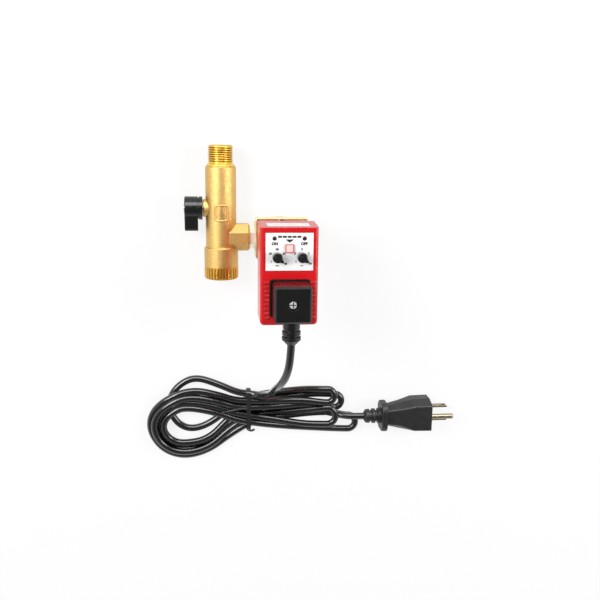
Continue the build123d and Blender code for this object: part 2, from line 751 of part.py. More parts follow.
recess_floor = box_front - recess_depth
rib_inner = recess_width / 2
with BuildPart() as front_housing:
    add(box_block(box_split, box_front))
    extrude(plate(level(0, inner_middle, box_split), inner_width, inner_height, 1.5),
            amount=box_front - panel_wall - box_split, mode=Mode.SUBTRACT)
    for x, y in screw_places:
        extrude(disc(level(x, y, box_split), post_radius),
                amount=box_front - panel_wall - box_split)
        extrude(disc(level(x, y, box_split), screw_shank + fit), amount=8.5,
                mode=Mode.SUBTRACT)
    # shallow bed for the label, and what comes through it
    extrude(plate(level(0, label_y, box_front - label_thickness), label_width + 2 * fit,
                  label_height + 2 * fit), amount=label_thickness, mode=Mode.SUBTRACT)
    for side in (-1, 1):
        extrude(disc(level(side * knob_spacing / 2, knob_y, box_front - panel_wall), 3.3),
                amount=panel_wall, mode=Mode.SUBTRACT)
        extrude(disc(level(side * led_spacing / 2, led_y, box_front - panel_wall),
                     led_radius + fit), amount=panel_wall, mode=Mode.SUBTRACT)
    extrude(plate(level(0, button_y, box_front - panel_wall), button_size + 0.4,
                  button_size + 0.4), amount=panel_wall, mode=Mode.SUBTRACT)
    # recess for the connector's base, open behind it for the pins
    extrude(plate(level(connector_x, connector_y, recess_floor), recess_width, recess_height,
                  2.0), amount=recess_depth, mode=Mode.SUBTRACT)
    extrude(plate(level(connector_x, connector_y, box_front - panel_wall), 20.0, 20.0, 2.0),
            amount=panel_wall, mode=Mode.SUBTRACT)
    # grip ribs beside the recess
    for side in (-1, 1):
        middle = connector_x + side * (rib_inner + rib_width / 2)
        for count in range(rib_count):
            extrude(plate(level(middle, rib_top - count * rib_pitch, box_front),
                          rib_width, rib_height, 0.7), amount=rib_proud)
front_housing.part.label = "front_housing"
export_step(front_housing.part, "parts/front_housing.step")

with BuildPart() as housing_screws:
    for x, y in screw_places:
        extrude(disc(level(x, y, box_back + 0.3), screw_head), amount=1.9)
        extrude(disc(level(x, y, box_back + 2.2), screw_shank),
                amount=box_split + 7.6 - box_back - 2.2)
        for turn in (0, 90):
            extrude(plate(level(x, y, box_back + 0.3).rotated((0, 0, turn)), 2.6, 0.7),
                    amount=1.0, mode=Mode.SUBTRACT)
housing_screws.part.label = "housing_screws"
export_step(housing_screws.part, "parts/housing_screws.step")

# white panel label with its holes
panel_top = box_front
with BuildPart() as panel_label:
    extrude(plate(level(0, label_y, box_front - label_thickness), label_width, label_height),
            amount=label_thickness)
    for side in (-1, 1):
        extrude(disc(level(side * knob_spacing / 2, knob_y, 0), 3.3), amount=box_front,
                mode=Mode.SUBTRACT)
        extrude(disc(level(side * led_spacing / 2, led_y, 0), led_radius + fit),
                amount=box_front, mode=Mode.SUBTRACT)
    extrude(plate(level(0, button_y, 0), button_size + 0.4, button_size + 0.4),
            amount=box_front, mode=Mode.SUBTRACT)
panel_label.part.label = "panel_label"
export_step(panel_label.part, "parts/panel_label.step")

# circuit board between the posts, clear of the coil's nut, and its larger components
board_bottom = max(board_z, tube_top + stud_length + 1.0)
board_top = board_bottom + board_thickness
board_notch = 2 * post_radius + 4.6
with BuildPart() as circuit_board:
    extrude(plate(level(0, inner_middle, board_bottom), inner_width - 0.4, inner_height - 0.4,
                  1.0), amount=board_thickness)
    # corners notched round the posts
    for x, y in screw_places:
        outward_x = 2.0 if x > 0 else -2.0
        outward_y = 2.0 if y > inner_middle else -2.0
        extrude(plate(level(x + outward_x, y + outward_y, board_bottom), board_notch,
                      board_notch, 1.0), amount=board_thickness, mode=Mode.SUBTRACT)
circuit_board.part.label = "circuit_board"
export_step(circuit_board.part, "parts/circuit_board.step")

# relay, suppressor and timer chip hang under the board, with a round capacitor
component_row = box_bottom + 10.0
chip_y = inner_middle - 1.2
with BuildPart() as board_components:
    for x, y, width, length, height in (
            (-9.5, component_row, relay_width, relay_length, relay_height),
            (11.5, component_row, relay_width / 2, relay_length, relay_height - 0.5),
            (0, chip_y, chip_width, chip_length, chip_height)):
        extrude(plate(level(x, y, board_bottom - height), width, length), amount=height)
    extrude(disc(level(3.5, component_row, board_bottom - relay_height), capacitor_radius),
            amount=relay_height)
board_components.part.label = "board_components"
export_step(board_components.part, "parts/board_components.step")

# lamps: a dome on a stem that stands on the board
with BuildPart() as panel_lamps:
    for side in (-1, 1):
        extrude(disc(level(side * led_spacing / 2, led_y, board_top), led_radius),
                amount=panel_top + 0.2 - board_top)
        lamp_rim = panel_lamps.edges().group_by(Axis.Z)[-1]
    fillet(lamp_rim, 0.6)
panel_lamps.part.label = "panel_lamps"
export_step(panel_lamps.part, "parts/panel_lamps.step")

# two potentiometers, each turned by a knob of its own
pot_size = 9.6
pot_height = 5.0
pot_hole_radius = 1.6
with BuildPart() as potentiometers:
    for side in (-1, 1):
        extrude(plate(level(side * knob_spacing / 2, knob_y, board_top), pot_size, pot_size, 1.0),
                amount=pot_height)
        extrude(disc(level(side * knob_spacing / 2, knob_y, board_top + pot_height), 3.0),
                amount=box_front - board_top - pot_height - 0.4)
        extrude(disc(level(side * knob_spacing / 2, knob_y, board_top + 1.0), pot_hole_radius),
                amount=box_front, mode=Mode.SUBTRACT)
potentiometers.part.label = "potentiometers"
export_step(potentiometers.part, "parts/potentiometers.step")

knob_bottom = panel_top + 0.4
knob_top = knob_bottom + knob_height
shaft_top = knob_bottom + knob_height * 0.7


def pot_shaft(x):
    """Shaft of a potentiometer, with a flat where the knob grips it."""
    with BuildPart() as shaft:
        extrude(disc(level(x, knob_y, board_top + 1.2), pot_hole_radius - running),
                amount=shaft_top - board_top - 1.2)
        extrude(plate(level(x, knob_y + pot_hole_radius, knob_bottom + 0.4), 4.0, 1.6),
                amount=knob_height, mode=Mode.SUBTRACT)
    return shaft.part


def panel_knob(x):
    """Round knob with a beak that points at the dial, and a flatted bore."""
    beak = Vector(knob_beak * cos(radians(knob_rest_angle)),
                  knob_beak * sin(radians(knob_rest_angle)))
    with BuildPart() as knob:
        with BuildSketch(level(x, knob_y, knob_bottom)) as round_body:
            Circle(knob_radius)
        extrude(amount=knob_height)
        fillet(knob.faces().sort_by(Axis.Z)[-1].edges(), 0.7)
        # beak: tangent wedge with a blunt tip, lower than the body
        with BuildSketch(level(x, knob_y, knob_bottom).rotated((0, 0, knob_rest_angle))) as wedge:
            with BuildLine():
                Polyline((0, knob_radius * 0.93), (knob_beak - 0.5, 0.75), (knob_beak, 0.4),
                         (knob_beak, -0.4), (knob_beak - 0.5, -0.75), (0, -knob_radius * 0.93),
                         close=True)
            make_face()
        extrude(amount=knob_height * 0.7)
        # raised pointer rib across the top, along the beak
        extrude(plate(level(x + beak.X * 0.2, knob_y + beak.Y * 0.2, knob_top - 0.2)
                      .rotated((0, 0, knob_rest_angle)), knob_radius * 1.5, 1.3), amount=0.9)
        extrude(disc(level(x, knob_y, knob_bottom), pot_hole_radius), amount=shaft_top + 0.2
                - knob_bottom, mode=Mode.SUBTRACT)
        extrude(plate(level(x, knob_y + pot_hole_radius, knob_bottom + 0.5), 3.0, 1.4),
                amount=shaft_top - knob_bottom - 0.4)
    return knob.part


with BuildPart() as interval_shaft:
    add(pot_shaft(-knob_spacing / 2))
interval_shaft.part.label = "interval_shaft"
export_step(interval_shaft.part, "parts/interval_shaft.step")

with BuildPart() as discharge_shaft:
    add(pot_shaft(knob_spacing / 2))
discharge_shaft.part.label = "discharge_shaft"
export_step(discharge_shaft.part, "parts/discharge_shaft.step")

with BuildPart() as interval_knob:
    add(panel_knob(-knob_spacing / 2))
interval_knob.part.label = "interval_knob"
export_step(interval_knob.part, "parts/interval_knob.step")

with BuildPart() as discharge_knob:
    add(panel_knob(knob_spacing / 2))
discharge_knob.part.label = "discharge_knob"
export_step(discharge_knob.part, "parts/discharge_knob.step")

# test button on its switch
switch_height = 3.6
button_foot = board_top + switch_height + button_travel + 0.2
button_top = panel_top + button_travel + 0.4
with BuildPart() as test_switch:
    extrude(plate(level(0, button_y, board_top), 6.0, 6.0, 0.6), amount=switch_height)
test_switch.part.label = "test_switch"
export_step(test_switch.part, "parts/test_switch.step")

with BuildPart() as test_button:
    extrude(plate(level(0, button_y, button_foot), button_size, button_size, 0.5),
            amount=button_top - button_foot)
    fillet(test_button.faces().sort_by(Axis.Z)[-1].edges(), 0.4)
    # collar that keeps the button in the panel
    extrude(plate(level(0, button_y, box_front - panel_wall - 1.4), button_size + 2.0,
                  button_size + 2.0, 0.5), amount=1.2)
test_button.part.label = "test_button"
export_step(test_button.part, "parts/test_button.step")

# ==================================================================== mains connector
base_top = recess_floor + base_thickness
gasket_top = base_top + gasket_thickness
shell_height = connector_top - gasket_top
pin_spacing = 9.0
base_screw_radius = 1.5
pin_places = [(-pin_spacing, 0, 90), (pin_spacing, 0, 90), (0, pin_spacing, 0)]
pin_top = base_top + 12.0


def pin_plane(x, y, turn, height):
    """Sketch plane on a contact pin, its x along the pin's width."""
    return level(connector_x + x, connector_y + y, height).rotated((0, 0, turn))


with BuildPart() as connector_base:
    extrude(plate(level(connector_x, connector_y, recess_floor), recess_width - 0.4,
                  recess_height - 0.4, 1.8), amount=base_thickness)
    extrude(plate(level(connector_x, connector_y, recess_floor - 2.4), 19.6, 19.6, 1.8),
            amount=2.4)
    for x, y, turn in pin_places:
        extrude(plate(pin_plane(x, y, turn, 0), 6.5, 1.1), amount=base_top, mode=Mode.SUBTRACT)
    extrude(disc(level(connector_x, connector_y, 0), base_screw_radius + fit),
            amount=base_top, mode=Mode.SUBTRACT)
connector_base.part.label = "connector_base"
export_step(connector_base.part, "parts/connector_base.step")

with BuildPart() as connector_pins:
    for x, y, turn in pin_places:
        extrude(plate(pin_plane(x, y, turn, board_top), 6.3, 0.9), amount=pin_top - board_top)
connector_pins.part.label = "connector_pins"
export_step(connector_pins.part, "parts/connector_pins.step")

with BuildPart() as connector_gasket:
    extrude(plate(level(connector_x, connector_y, base_top), connector_size - 0.6,
                  connector_size - 0.6, 2.0), amount=gasket_thickness)
    extrude(plate(level(connector_x, connector_y, base_top), connector_size - 2 * connector_wall
                  - 1.0, connector_size - 2 * connector_wall - 1.0, 1.0),
            amount=gasket_thickness, mode=Mode.SUBTRACT)
connector_gasket.part.label = "connector_gasket"
export_step(connector_gasket.part, "parts/connector_gasket.step")

screw_pocket_radius = 4.0
screw_pocket_depth = 3.4
screw_seat = connector_top - screw_pocket_depth
shell_inner = connector_size - 2 * connector_wall
with BuildPart() as connector_shell:
    extrude(plate(level(connector_x, connector_y, gasket_top), connector_size, connector_size,
                  2.0), amount=shell_height)
    chamfer(connector_shell.faces().sort_by(Axis.Z)[-1].edges(), 1.4)
    extrude(plate(level(connector_x, connector_y, gasket_top), shell_inner, shell_inner, 1.0),
            amount=shell_height - connector_wall, mode=Mode.SUBTRACT)
    # tower for the central screw
    extrude(disc(level(connector_x, connector_y, screw_seat - 2.0), screw_pocket_radius + 1.5),
            amount=screw_pocket_depth + 1.0)
    extrude(disc(level(connector_x, connector_y, screw_seat), screw_pocket_radius),
            amount=screw_pocket_depth, mode=Mode.SUBTRACT)
    extrude(disc(level(connector_x, connector_y, gasket_top), base_screw_radius + 0.2),
            amount=shell_height, mode=Mode.SUBTRACT)
    # way out for the cord
    extrude(disc(upright(connector_x, connector_y, relief_z), relief_radius - 1.4),
            amount=connector_size, mode=Mode.SUBTRACT)
connector_shell.part.label = "connector_shell"
export_step(connector_shell.part, "parts/connector_shell.step")

# terminal block with a socket for each pin
insert_size = shell_inner - 0.6
insert_height = 9.0
with BuildPart() as terminal_block:
    extrude(plate(level(connector_x, connector_y, gasket_top + 0.2), insert_size, insert_size,
                  1.0), amount=insert_height)
    for x, y, turn in pin_places:
        extrude(plate(pin_plane(x, y, turn, 0), 7.0, 2.6), amount=connector_top,
                mode=Mode.SUBTRACT)
    extrude(disc(level(connector_x, connector_y, 0), base_screw_radius + 0.2),
            amount=connector_top, mode=Mode.SUBTRACT)
    # room for the wires under the cord's entry
    extrude(plate(level(connector_x, connector_y - insert_size / 2, relief_z - relief_radius),
                  2 * relief_radius, insert_size / 2), amount=connector_top, mode=Mode.SUBTRACT)
terminal_block.part.label = "terminal_block"
export_step(terminal_block.part, "parts/terminal_block.step")

with BuildPart() as pin_sockets:
    for x, y, turn in pin_places:
        extrude(plate(pin_plane(x, y, turn, gasket_top + 0.8), 6.8, 2.4),
                amount=insert_height - 1.2)
        extrude(plate(pin_plane(x, y, turn, 0), 6.5, 1.0), amount=pin_top + 0.1,
                mode=Mode.SUBTRACT)
pin_sockets.part.label = "pin_sockets"
export_step(pin_sockets.part, "parts/pin_sockets.step")

with BuildPart() as connector_screw:
    head = level(connector_x, connector_y, screw_seat)
    extrude(disc(head, 3.0), amount=2.0)
    fillet(connector_screw.faces().sort_by(Axis.Z)[-1].edges(), 0.7)
    extrude(disc(level(connector_x, connector_y, recess_floor - 2.0), base_screw_radius),
            amount=screw_seat - recess_floor + 2.0)
    for turn in (0, 90):
        extrude(plate(level(connector_x, connector_y, screw_seat + 0.5).rotated((0, 0, turn)),
                      4.8, 1.1), amount=2.0, mode=Mode.SUBTRACT)
connector_screw.part.label = "connector_screw"
export_step(connector_screw.part, "parts/connector_screw.step")

# moulded strain relief: neck, two rings with grooves between, taper to the cord
cord_radius = cord_diameter / 2
relief_section = Plane(origin=spot(connector_x, connector_y - connector_size / 2, relief_z),
                       x_dir=(0, -1, 0), z_dir=(1, 0, 0))      # outward along x
relief_axis = Axis(spot(connector_x, connector_y - connector_size / 2, relief_z), (0, -1, 0))
relief_groove = 1.5
with BuildPart() as strain_relief:
    revolve(outline(
        relief_section,
        (-connector_wall, 0), (-connector_wall, relief_radius - 1.5), (0, relief_radius - 1.5),
        (0, relief_radius - 0.3), (6.4, relief_radius - 0.3),
        (6.9, relief_radius - relief_groove), (7.9, relief_radius - relief_groove),
        (8.3, relief_radius + 0.2), (11.0, relief_radius + 0.2),
        (11.4, relief_radius - relief_groove), (12.4, relief_radius - relief_groove),
        (12.8, relief_radius + 0.4), (15.2, relief_radius + 0.4), (16.4, relief_radius - 0.9),
        (relief_length - 0.6, cord_radius + 0.9), (relief_length, cord_radius + 0.3),
        (relief_length, 0)),
        axis=relief_axis)
strain_relief.part.label = "strain_relief"
export_step(strain_relief.part, "parts/strain_relief.step")

# ============================================================================== cord
# The cord drops from the strain relief to the table, is wound into a tied hank, and
# ends in its plug.  Its points are in the part's frame.


def corner_radii(points):
    """Radius of each corner's arc: 0.45 of the shorter run over tan of half the turn."""
    places = [Vector(*point) for point in points]
    radii = []
    for before, here, after in zip(places, places[1:], places[2:]):
        run_in, run_out = here - before, after - here
        turn = radians(run_in.get_angle(run_out))
        radii.append(0.45 * min(run_in.length, run_out.length) / tan(turn / 2))
    return radii


def cord_tube(points):
    """Round tube along straight runs joined by tangent arcs."""
    radii = corner_radii(points)
    print("corner radii", [round(radius, 1) for radius in radii])
    with BuildPart() as tube:
        with BuildLine() as path:
            FilletPolyline(*points, radius=radii)
        with BuildSketch(Plane(origin=path.line @ 0, z_dir=path.line % 0)):
            Circle(cord_radius)
        sweep(path=path.line)
    length = path.wire().length
    section = pi * cord_radius ** 2
    print("tube length", round(length, 1),
          "volume over section times length", round(tube.part.volume / (section * length), 4))
    return tube.part


relief_mouth = spot(connector_x, relief_end, relief_z)
lead_route = [
    (relief_mouth.X, relief_mouth.Y, relief_mouth.Z),
    (relief_mouth.X, -88.0, relief_mouth.Z),
    (28.4, -101.5, 99.0),
    (25.4, -113.2, 88.8),
    (21.6, -122.5, 72.0),
    (17.9, -132.0, 53.5),
    (14.6, -139.0, 35.5),
    (12.0, -144.0, 21.0),
    (9.0, -147.5, 9.0),
]
with BuildPart() as cord_lead:
    add(cord_tube(lead_route))
cord_lead.part.label = "cord_lead"
export_step(cord_lead.part, "parts/cord_lead.step")

# the hank: a wide loop on the left, a narrow fan on the right, pinched by the tie
hank_points = [
    (-43.0, -124.5), (-71.0, -136.5), (-90.5, -170.0), (-83.0, -197.5), (-58.0, -208.5),
    (-30.0, -199.5), (0.0, -182.0), (34.0, -181.0), (70.0, -188.0), (97.0, -189.0),
    (105.5, -178.0), (92.0, -158.0), (80.0, -143.0), (62.0, -138.5), (32.0, -144.5),
    (2.0, -141.0), (-18.0, -131.5)]
loop_hole = [(-71.0, -166.5), (-43.0, -158.0), (-14.0, -166.0), (-52.0, -184.0)]
tie_x = 2.2
tie_y = -161.0
tie_bed_height = hank_height - 2 * tie_thickness - 0.4
tie_bed_width = 37.0
with BuildPart() as cord_hank:
    with BuildSketch(Plane.XY):
        with BuildLine():
            Spline(*hank_points, periodic=True)
        make_face()
        with BuildLine():
            Spline(*loop_hole, periodic=True)
        make_face(mode=Mode.SUBTRACT)
    extrude(amount=hank_height)
    # bed that the tie pulls into the turns
    with BuildSketch(Plane(origin=(tie_x, tie_y, hank_height / 2), x_dir=(0, 1, 0),
                           z_dir=(1, 0, 0))):
        Rectangle(80, 2 * hank_height)
        RectangleRounded(tie_bed_width, tie_bed_height, 4.0, mode=Mode.SUBTRACT)
    extrude(amount=(tie_width + 0.4) / 2, both=True, mode=Mode.SUBTRACT)
cord_hank.part.label = "cord_hank"
export_step(cord_hank.part, "parts/cord_hank.step")

with BuildPart() as cord_tie:
    with BuildSketch(Plane(origin=(tie_x, tie_y, hank_height / 2), x_dir=(0, 1, 0),
                           z_dir=(1, 0, 0))):
        RectangleRounded(tie_bed_width + 2 * tie_thickness, tie_bed_height + 2 * tie_thickness,
                         4.0 + tie_thickness)
        RectangleRounded(tie_bed_width, tie_bed_height, 4.0, mode=Mode.SUBTRACT)
    extrude(amount=tie_width / 2, both=True)
cord_tie.part.label = "cord_tie"
export_step(cord_tie.part, "parts/cord_tie.step")

# ============================================================================== plug
plug_facing = Plane(origin=(plug_x, plug_y, plug_z),
                    x_dir=(-sin(radians(plug_turn)), cos(radians(plug_turn)), 0),
                    z_dir=(cos(radians(plug_turn)), sin(radians(plug_turn)), 0))
plug_body_length = 41.0
plug_block_length = 16.0
plug_step_length = 12.0
plug_waist_width = 18.5
plug_waist_height = 15.0
plug_flange = 5.0
plug_flange_width = 27.0
plug_flange_height = 23.0
plug_relief_length = 15.5
plug_relief_radius = 7.0


def plug_outline(back, width, top_width, height, corner):
    """Cross-section of the plug's body, flat underneath and narrower on top."""
    with BuildSketch(plug_facing.offset(-back)) as shape:
        with BuildLine():
            Polyline((-width / 2, -height / 2), (width / 2, -height / 2),
                     (width / 2, height * 0.05), (top_width / 2, height / 2),
                     (-top_width / 2, height / 2), (-width / 2, height * 0.05), close=True)
        make_face()
        fillet(shape.vertices(), corner)
    return shape.sketch


plug_back = plug_body_length + plug_flange + plug_relief_length
plug_section = Plane(origin=plug_facing.origin, x_dir=-plug_facing.z_dir,
                     z_dir=(0, 0, 1))                # backward along x, radius along y
plug_axis = Axis(plug_facing.origin, plug_facing.z_dir)
blade_drop = -5.0             # the blades lie below the plug's middle, the pin above it
pin_rise = blade_drop + pin_offset
prong_root = 12.0

with BuildPart() as mains_plug:
    # a full-size block at the face, a step down in height, then the waist
    block_end = (plug_block_length, plug_width - 0.6, plug_face_width - 0.6,
                 plug_height - 0.6, 2.0)
    step_end = (plug_block_length + plug_step_length, plug_width - 6.0, plug_face_width - 8.5,
                plug_waist_height + 1.0, 2.0)
    waist_end = (plug_body_length, plug_waist_width, plug_waist_width - 6.0,
                 plug_waist_height, 2.0)
    loft([plug_outline(0, plug_width, plug_face_width, plug_height, 2.0),
          plug_outline(*block_end)])
    loft([plug_outline(*block_end), plug_outline(*step_end)])
    loft([plug_outline(*step_end), plug_outline(*waist_end)])
    # finger flange
    with BuildSketch(plug_facing.offset(-plug_body_length - plug_flange)):
        RectangleRounded(plug_flange_width, plug_flange_height, 8.0)
    extrude(amount=plug_flange)
    flange_faces = mains_plug.faces().filter_by(plug_facing).sort_by(Axis.X)
    fillet(flange_faces[0].edges(), 1.2)
    # strain relief of three rings, tapering to the cord
    revolve(outline(
        plug_section,
        (plug_body_length, 0), (plug_body_length, plug_relief_radius),
        (plug_back - 12.8, plug_relief_radius), (plug_back - 12.3, plug_relief_radius - 1.8),
        (plug_back - 10.6, plug_relief_radius - 1.8), (plug_back - 10.2, plug_relief_radius - 0.2),
        (plug_back - 7.6, plug_relief_radius - 0.3), (plug_back - 7.2, plug_relief_radius - 1.9),
        (plug_back - 5.4, plug_relief_radius - 1.9), (plug_back - 5.0, plug_relief_radius - 0.5),
        (plug_back - 1.8, plug_relief_radius - 0.8), (plug_back, cord_radius + 0.6),
        (plug_back, 0)),
        axis=plug_axis)
    # pockets that the prongs are moulded into
    for side in (-1, 1):
        with BuildSketch(plug_facing):
            with Locations((side * blade_spacing / 2, blade_drop)):
                Rectangle(blade_thickness, blade_width)
        extrude(amount=-prong_root, mode=Mode.SUBTRACT)
    with BuildSketch(plug_facing):
        with Locations((0, pin_rise)):
            Circle(pin_shank_radius)
    extrude(amount=-prong_root, mode=Mode.SUBTRACT)
mains_plug.part.label = "mains_plug"
export_step(mains_plug.part, "parts/mains_plug.step")

# two flat blades, each with the hole that the socket's spring drops into
blade_hole_place = blade_length - 3.2
with BuildPart() as plug_blades:
    with BuildSketch(plug_facing.offset(-prong_root)):
        with Locations((-blade_spacing / 2, blade_drop), (blade_spacing / 2, blade_drop)):
            Rectangle(blade_thickness, blade_width)
    extrude(amount=prong_root + blade_length)
    tips = plug_blades.faces().filter_by(plug_facing).group_by(Axis.X)[-1]
    chamfer(tips.edges().group_by(SortBy.LENGTH)[-1], 0.4)
    with BuildSketch(Plane(origin=plug_facing.from_local_coords((0, blade_drop,
                                                                 blade_hole_place)),
                           x_dir=plug_facing.z_dir, z_dir=plug_facing.x_dir)):
        Circle(1.6)
    extrude(amount=blade_spacing, both=True, mode=Mode.SUBTRACT)
plug_blades.part.label = "plug_blades"
export_step(plug_blades.part, "parts/plug_blades.step")

with BuildPart() as plug_pin:
    with BuildSketch(plug_facing.offset(-prong_root)):
        with Locations((0, pin_rise)):
            Circle(pin_shank_radius)
    extrude(amount=prong_root)
    with BuildSketch(plug_facing):
        with Locations((0, pin_rise)):
            Circle(pin_radius)
    extrude(amount=pin_length)
    fillet(plug_pin.edges().sort_by(Axis.X)[-1], 1.6)
plug_pin.part.label = "plug_pin"
export_step(plug_pin.part, "parts/plug_pin.step")

# the last stretch of cord, from the hank to the plug
plug_tail = plug_facing.from_local_coords((0, 0, -plug_back))
tail_bend = plug_facing.from_local_coords((0, 0, -plug_back - 8.0))
tail_route = [
    (91.5, -169.9, 10.6),
    (tail_bend.X, tail_bend.Y, tail_bend.Z),
    (plug_tail.X, plug_tail.Y, plug_tail.Z),
]
with BuildPart() as cord_tail:
    add(cord_tube(tail_route))
cord_tail.part.label = "cord_tail"
export_step(cord_tail.part, "parts/cord_tail.step")
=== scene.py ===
"""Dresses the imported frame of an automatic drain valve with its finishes, fine forms and cord.

Everything is in metres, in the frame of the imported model: +Y runs toward the inlet thread,
+Z away from the table.  Each class below is one sub-assembly.
"""

import logging
import math
from dataclasses import dataclass
from enum import Enum

import bmesh
import bpy
import numpy as np
from mathutils import Matrix, Vector


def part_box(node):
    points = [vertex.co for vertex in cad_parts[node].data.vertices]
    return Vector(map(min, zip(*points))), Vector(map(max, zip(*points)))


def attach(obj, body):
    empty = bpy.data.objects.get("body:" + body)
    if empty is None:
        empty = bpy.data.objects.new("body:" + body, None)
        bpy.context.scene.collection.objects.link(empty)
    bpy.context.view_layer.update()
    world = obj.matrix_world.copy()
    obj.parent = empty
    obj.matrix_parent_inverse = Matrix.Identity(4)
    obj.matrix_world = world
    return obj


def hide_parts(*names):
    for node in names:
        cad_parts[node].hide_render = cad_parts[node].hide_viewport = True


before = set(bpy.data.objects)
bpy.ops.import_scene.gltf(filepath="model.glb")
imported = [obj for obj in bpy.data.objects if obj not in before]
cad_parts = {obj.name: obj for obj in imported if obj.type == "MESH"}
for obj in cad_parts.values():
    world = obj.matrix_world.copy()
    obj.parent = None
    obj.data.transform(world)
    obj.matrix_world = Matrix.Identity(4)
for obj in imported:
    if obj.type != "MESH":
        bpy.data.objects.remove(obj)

MM = 0.001
WHITE = "#ffffff"
SQUARE = np.array([(-1, -1), (1, -1), (1, 1), (-1, 1)])    # its corners, two units to a side
LOWER_LAYER, UPPER_LAYER = 3.2, 9.3    # heights of the hank's two layers, in millimetres
log = logging.getLogger("drain_valve")

Place = tuple[float, float, float]
Faces = list[list[int]]
Surface = tuple[np.ndarray, Faces]


# ------------------------------------------------------------------ colours and shader nodes
def linear(hex_colour: str) -> tuple[float, float, float, float]:
    """Turn an sRGB colour into the linear one that a shader takes.

    Args:
        hex_colour: the colour as "#rrggbb".

    Returns:
        Linear red, green and blue, and an alpha of 1.
    """
    coded = np.array([int(hex_colour[i:i + 2], 16) for i in (1, 3, 5)]) / 255
    plain = np.where(coded <= 0.04045, coded / 12.92, ((coded + 0.055) / 1.055) ** 2.4)
    return (*plain.tolist(), 1.0)


def add_node(tree: bpy.types.NodeTree, kind: str, inputs: dict | None = None,
             **settings: object) -> bpy.types.Node:
    """Add one shader node.

    Args:
        tree: the material's node tree.
        kind: the node's type name.
        inputs: values by socket name or number; a socket as value is linked.
        settings: the node's own properties.

    Returns:
        The new node.
    """
    node = tree.nodes.new(kind)
    for name, value in settings.items():
        setattr(node, name, value)
    for name, value in (inputs or {}).items():
        if isinstance(value, bpy.types.NodeSocket):
            tree.links.new(value, node.inputs[name])
        else:
            node.inputs[name].default_value = value
    return node


def add_object(name: str, data: bpy.types.ID) -> bpy.types.Object:
    """Make an object of a mesh, curve, lamp or camera and link it to the scene.

    Args:
        name: the object's name.
        data: what it shows.

    Returns:
        The new object, at the origin.
    """
    made = bpy.data.objects.new(name, data)
    bpy.context.scene.collection.objects.link(made)
    return made


class Marks(Enum):
    """What the tool or the mould left on a surface."""

    GRAIN = "grain"          # sand grain or spark-eroded mould texture, the same all ways
    TURNED_Y = "Y"           # fine rings round the Y axis
    TURNED_Z = "Z"           # fine rings round the Z axis
    DRAWN_X = "drawn"        # long scratches along X


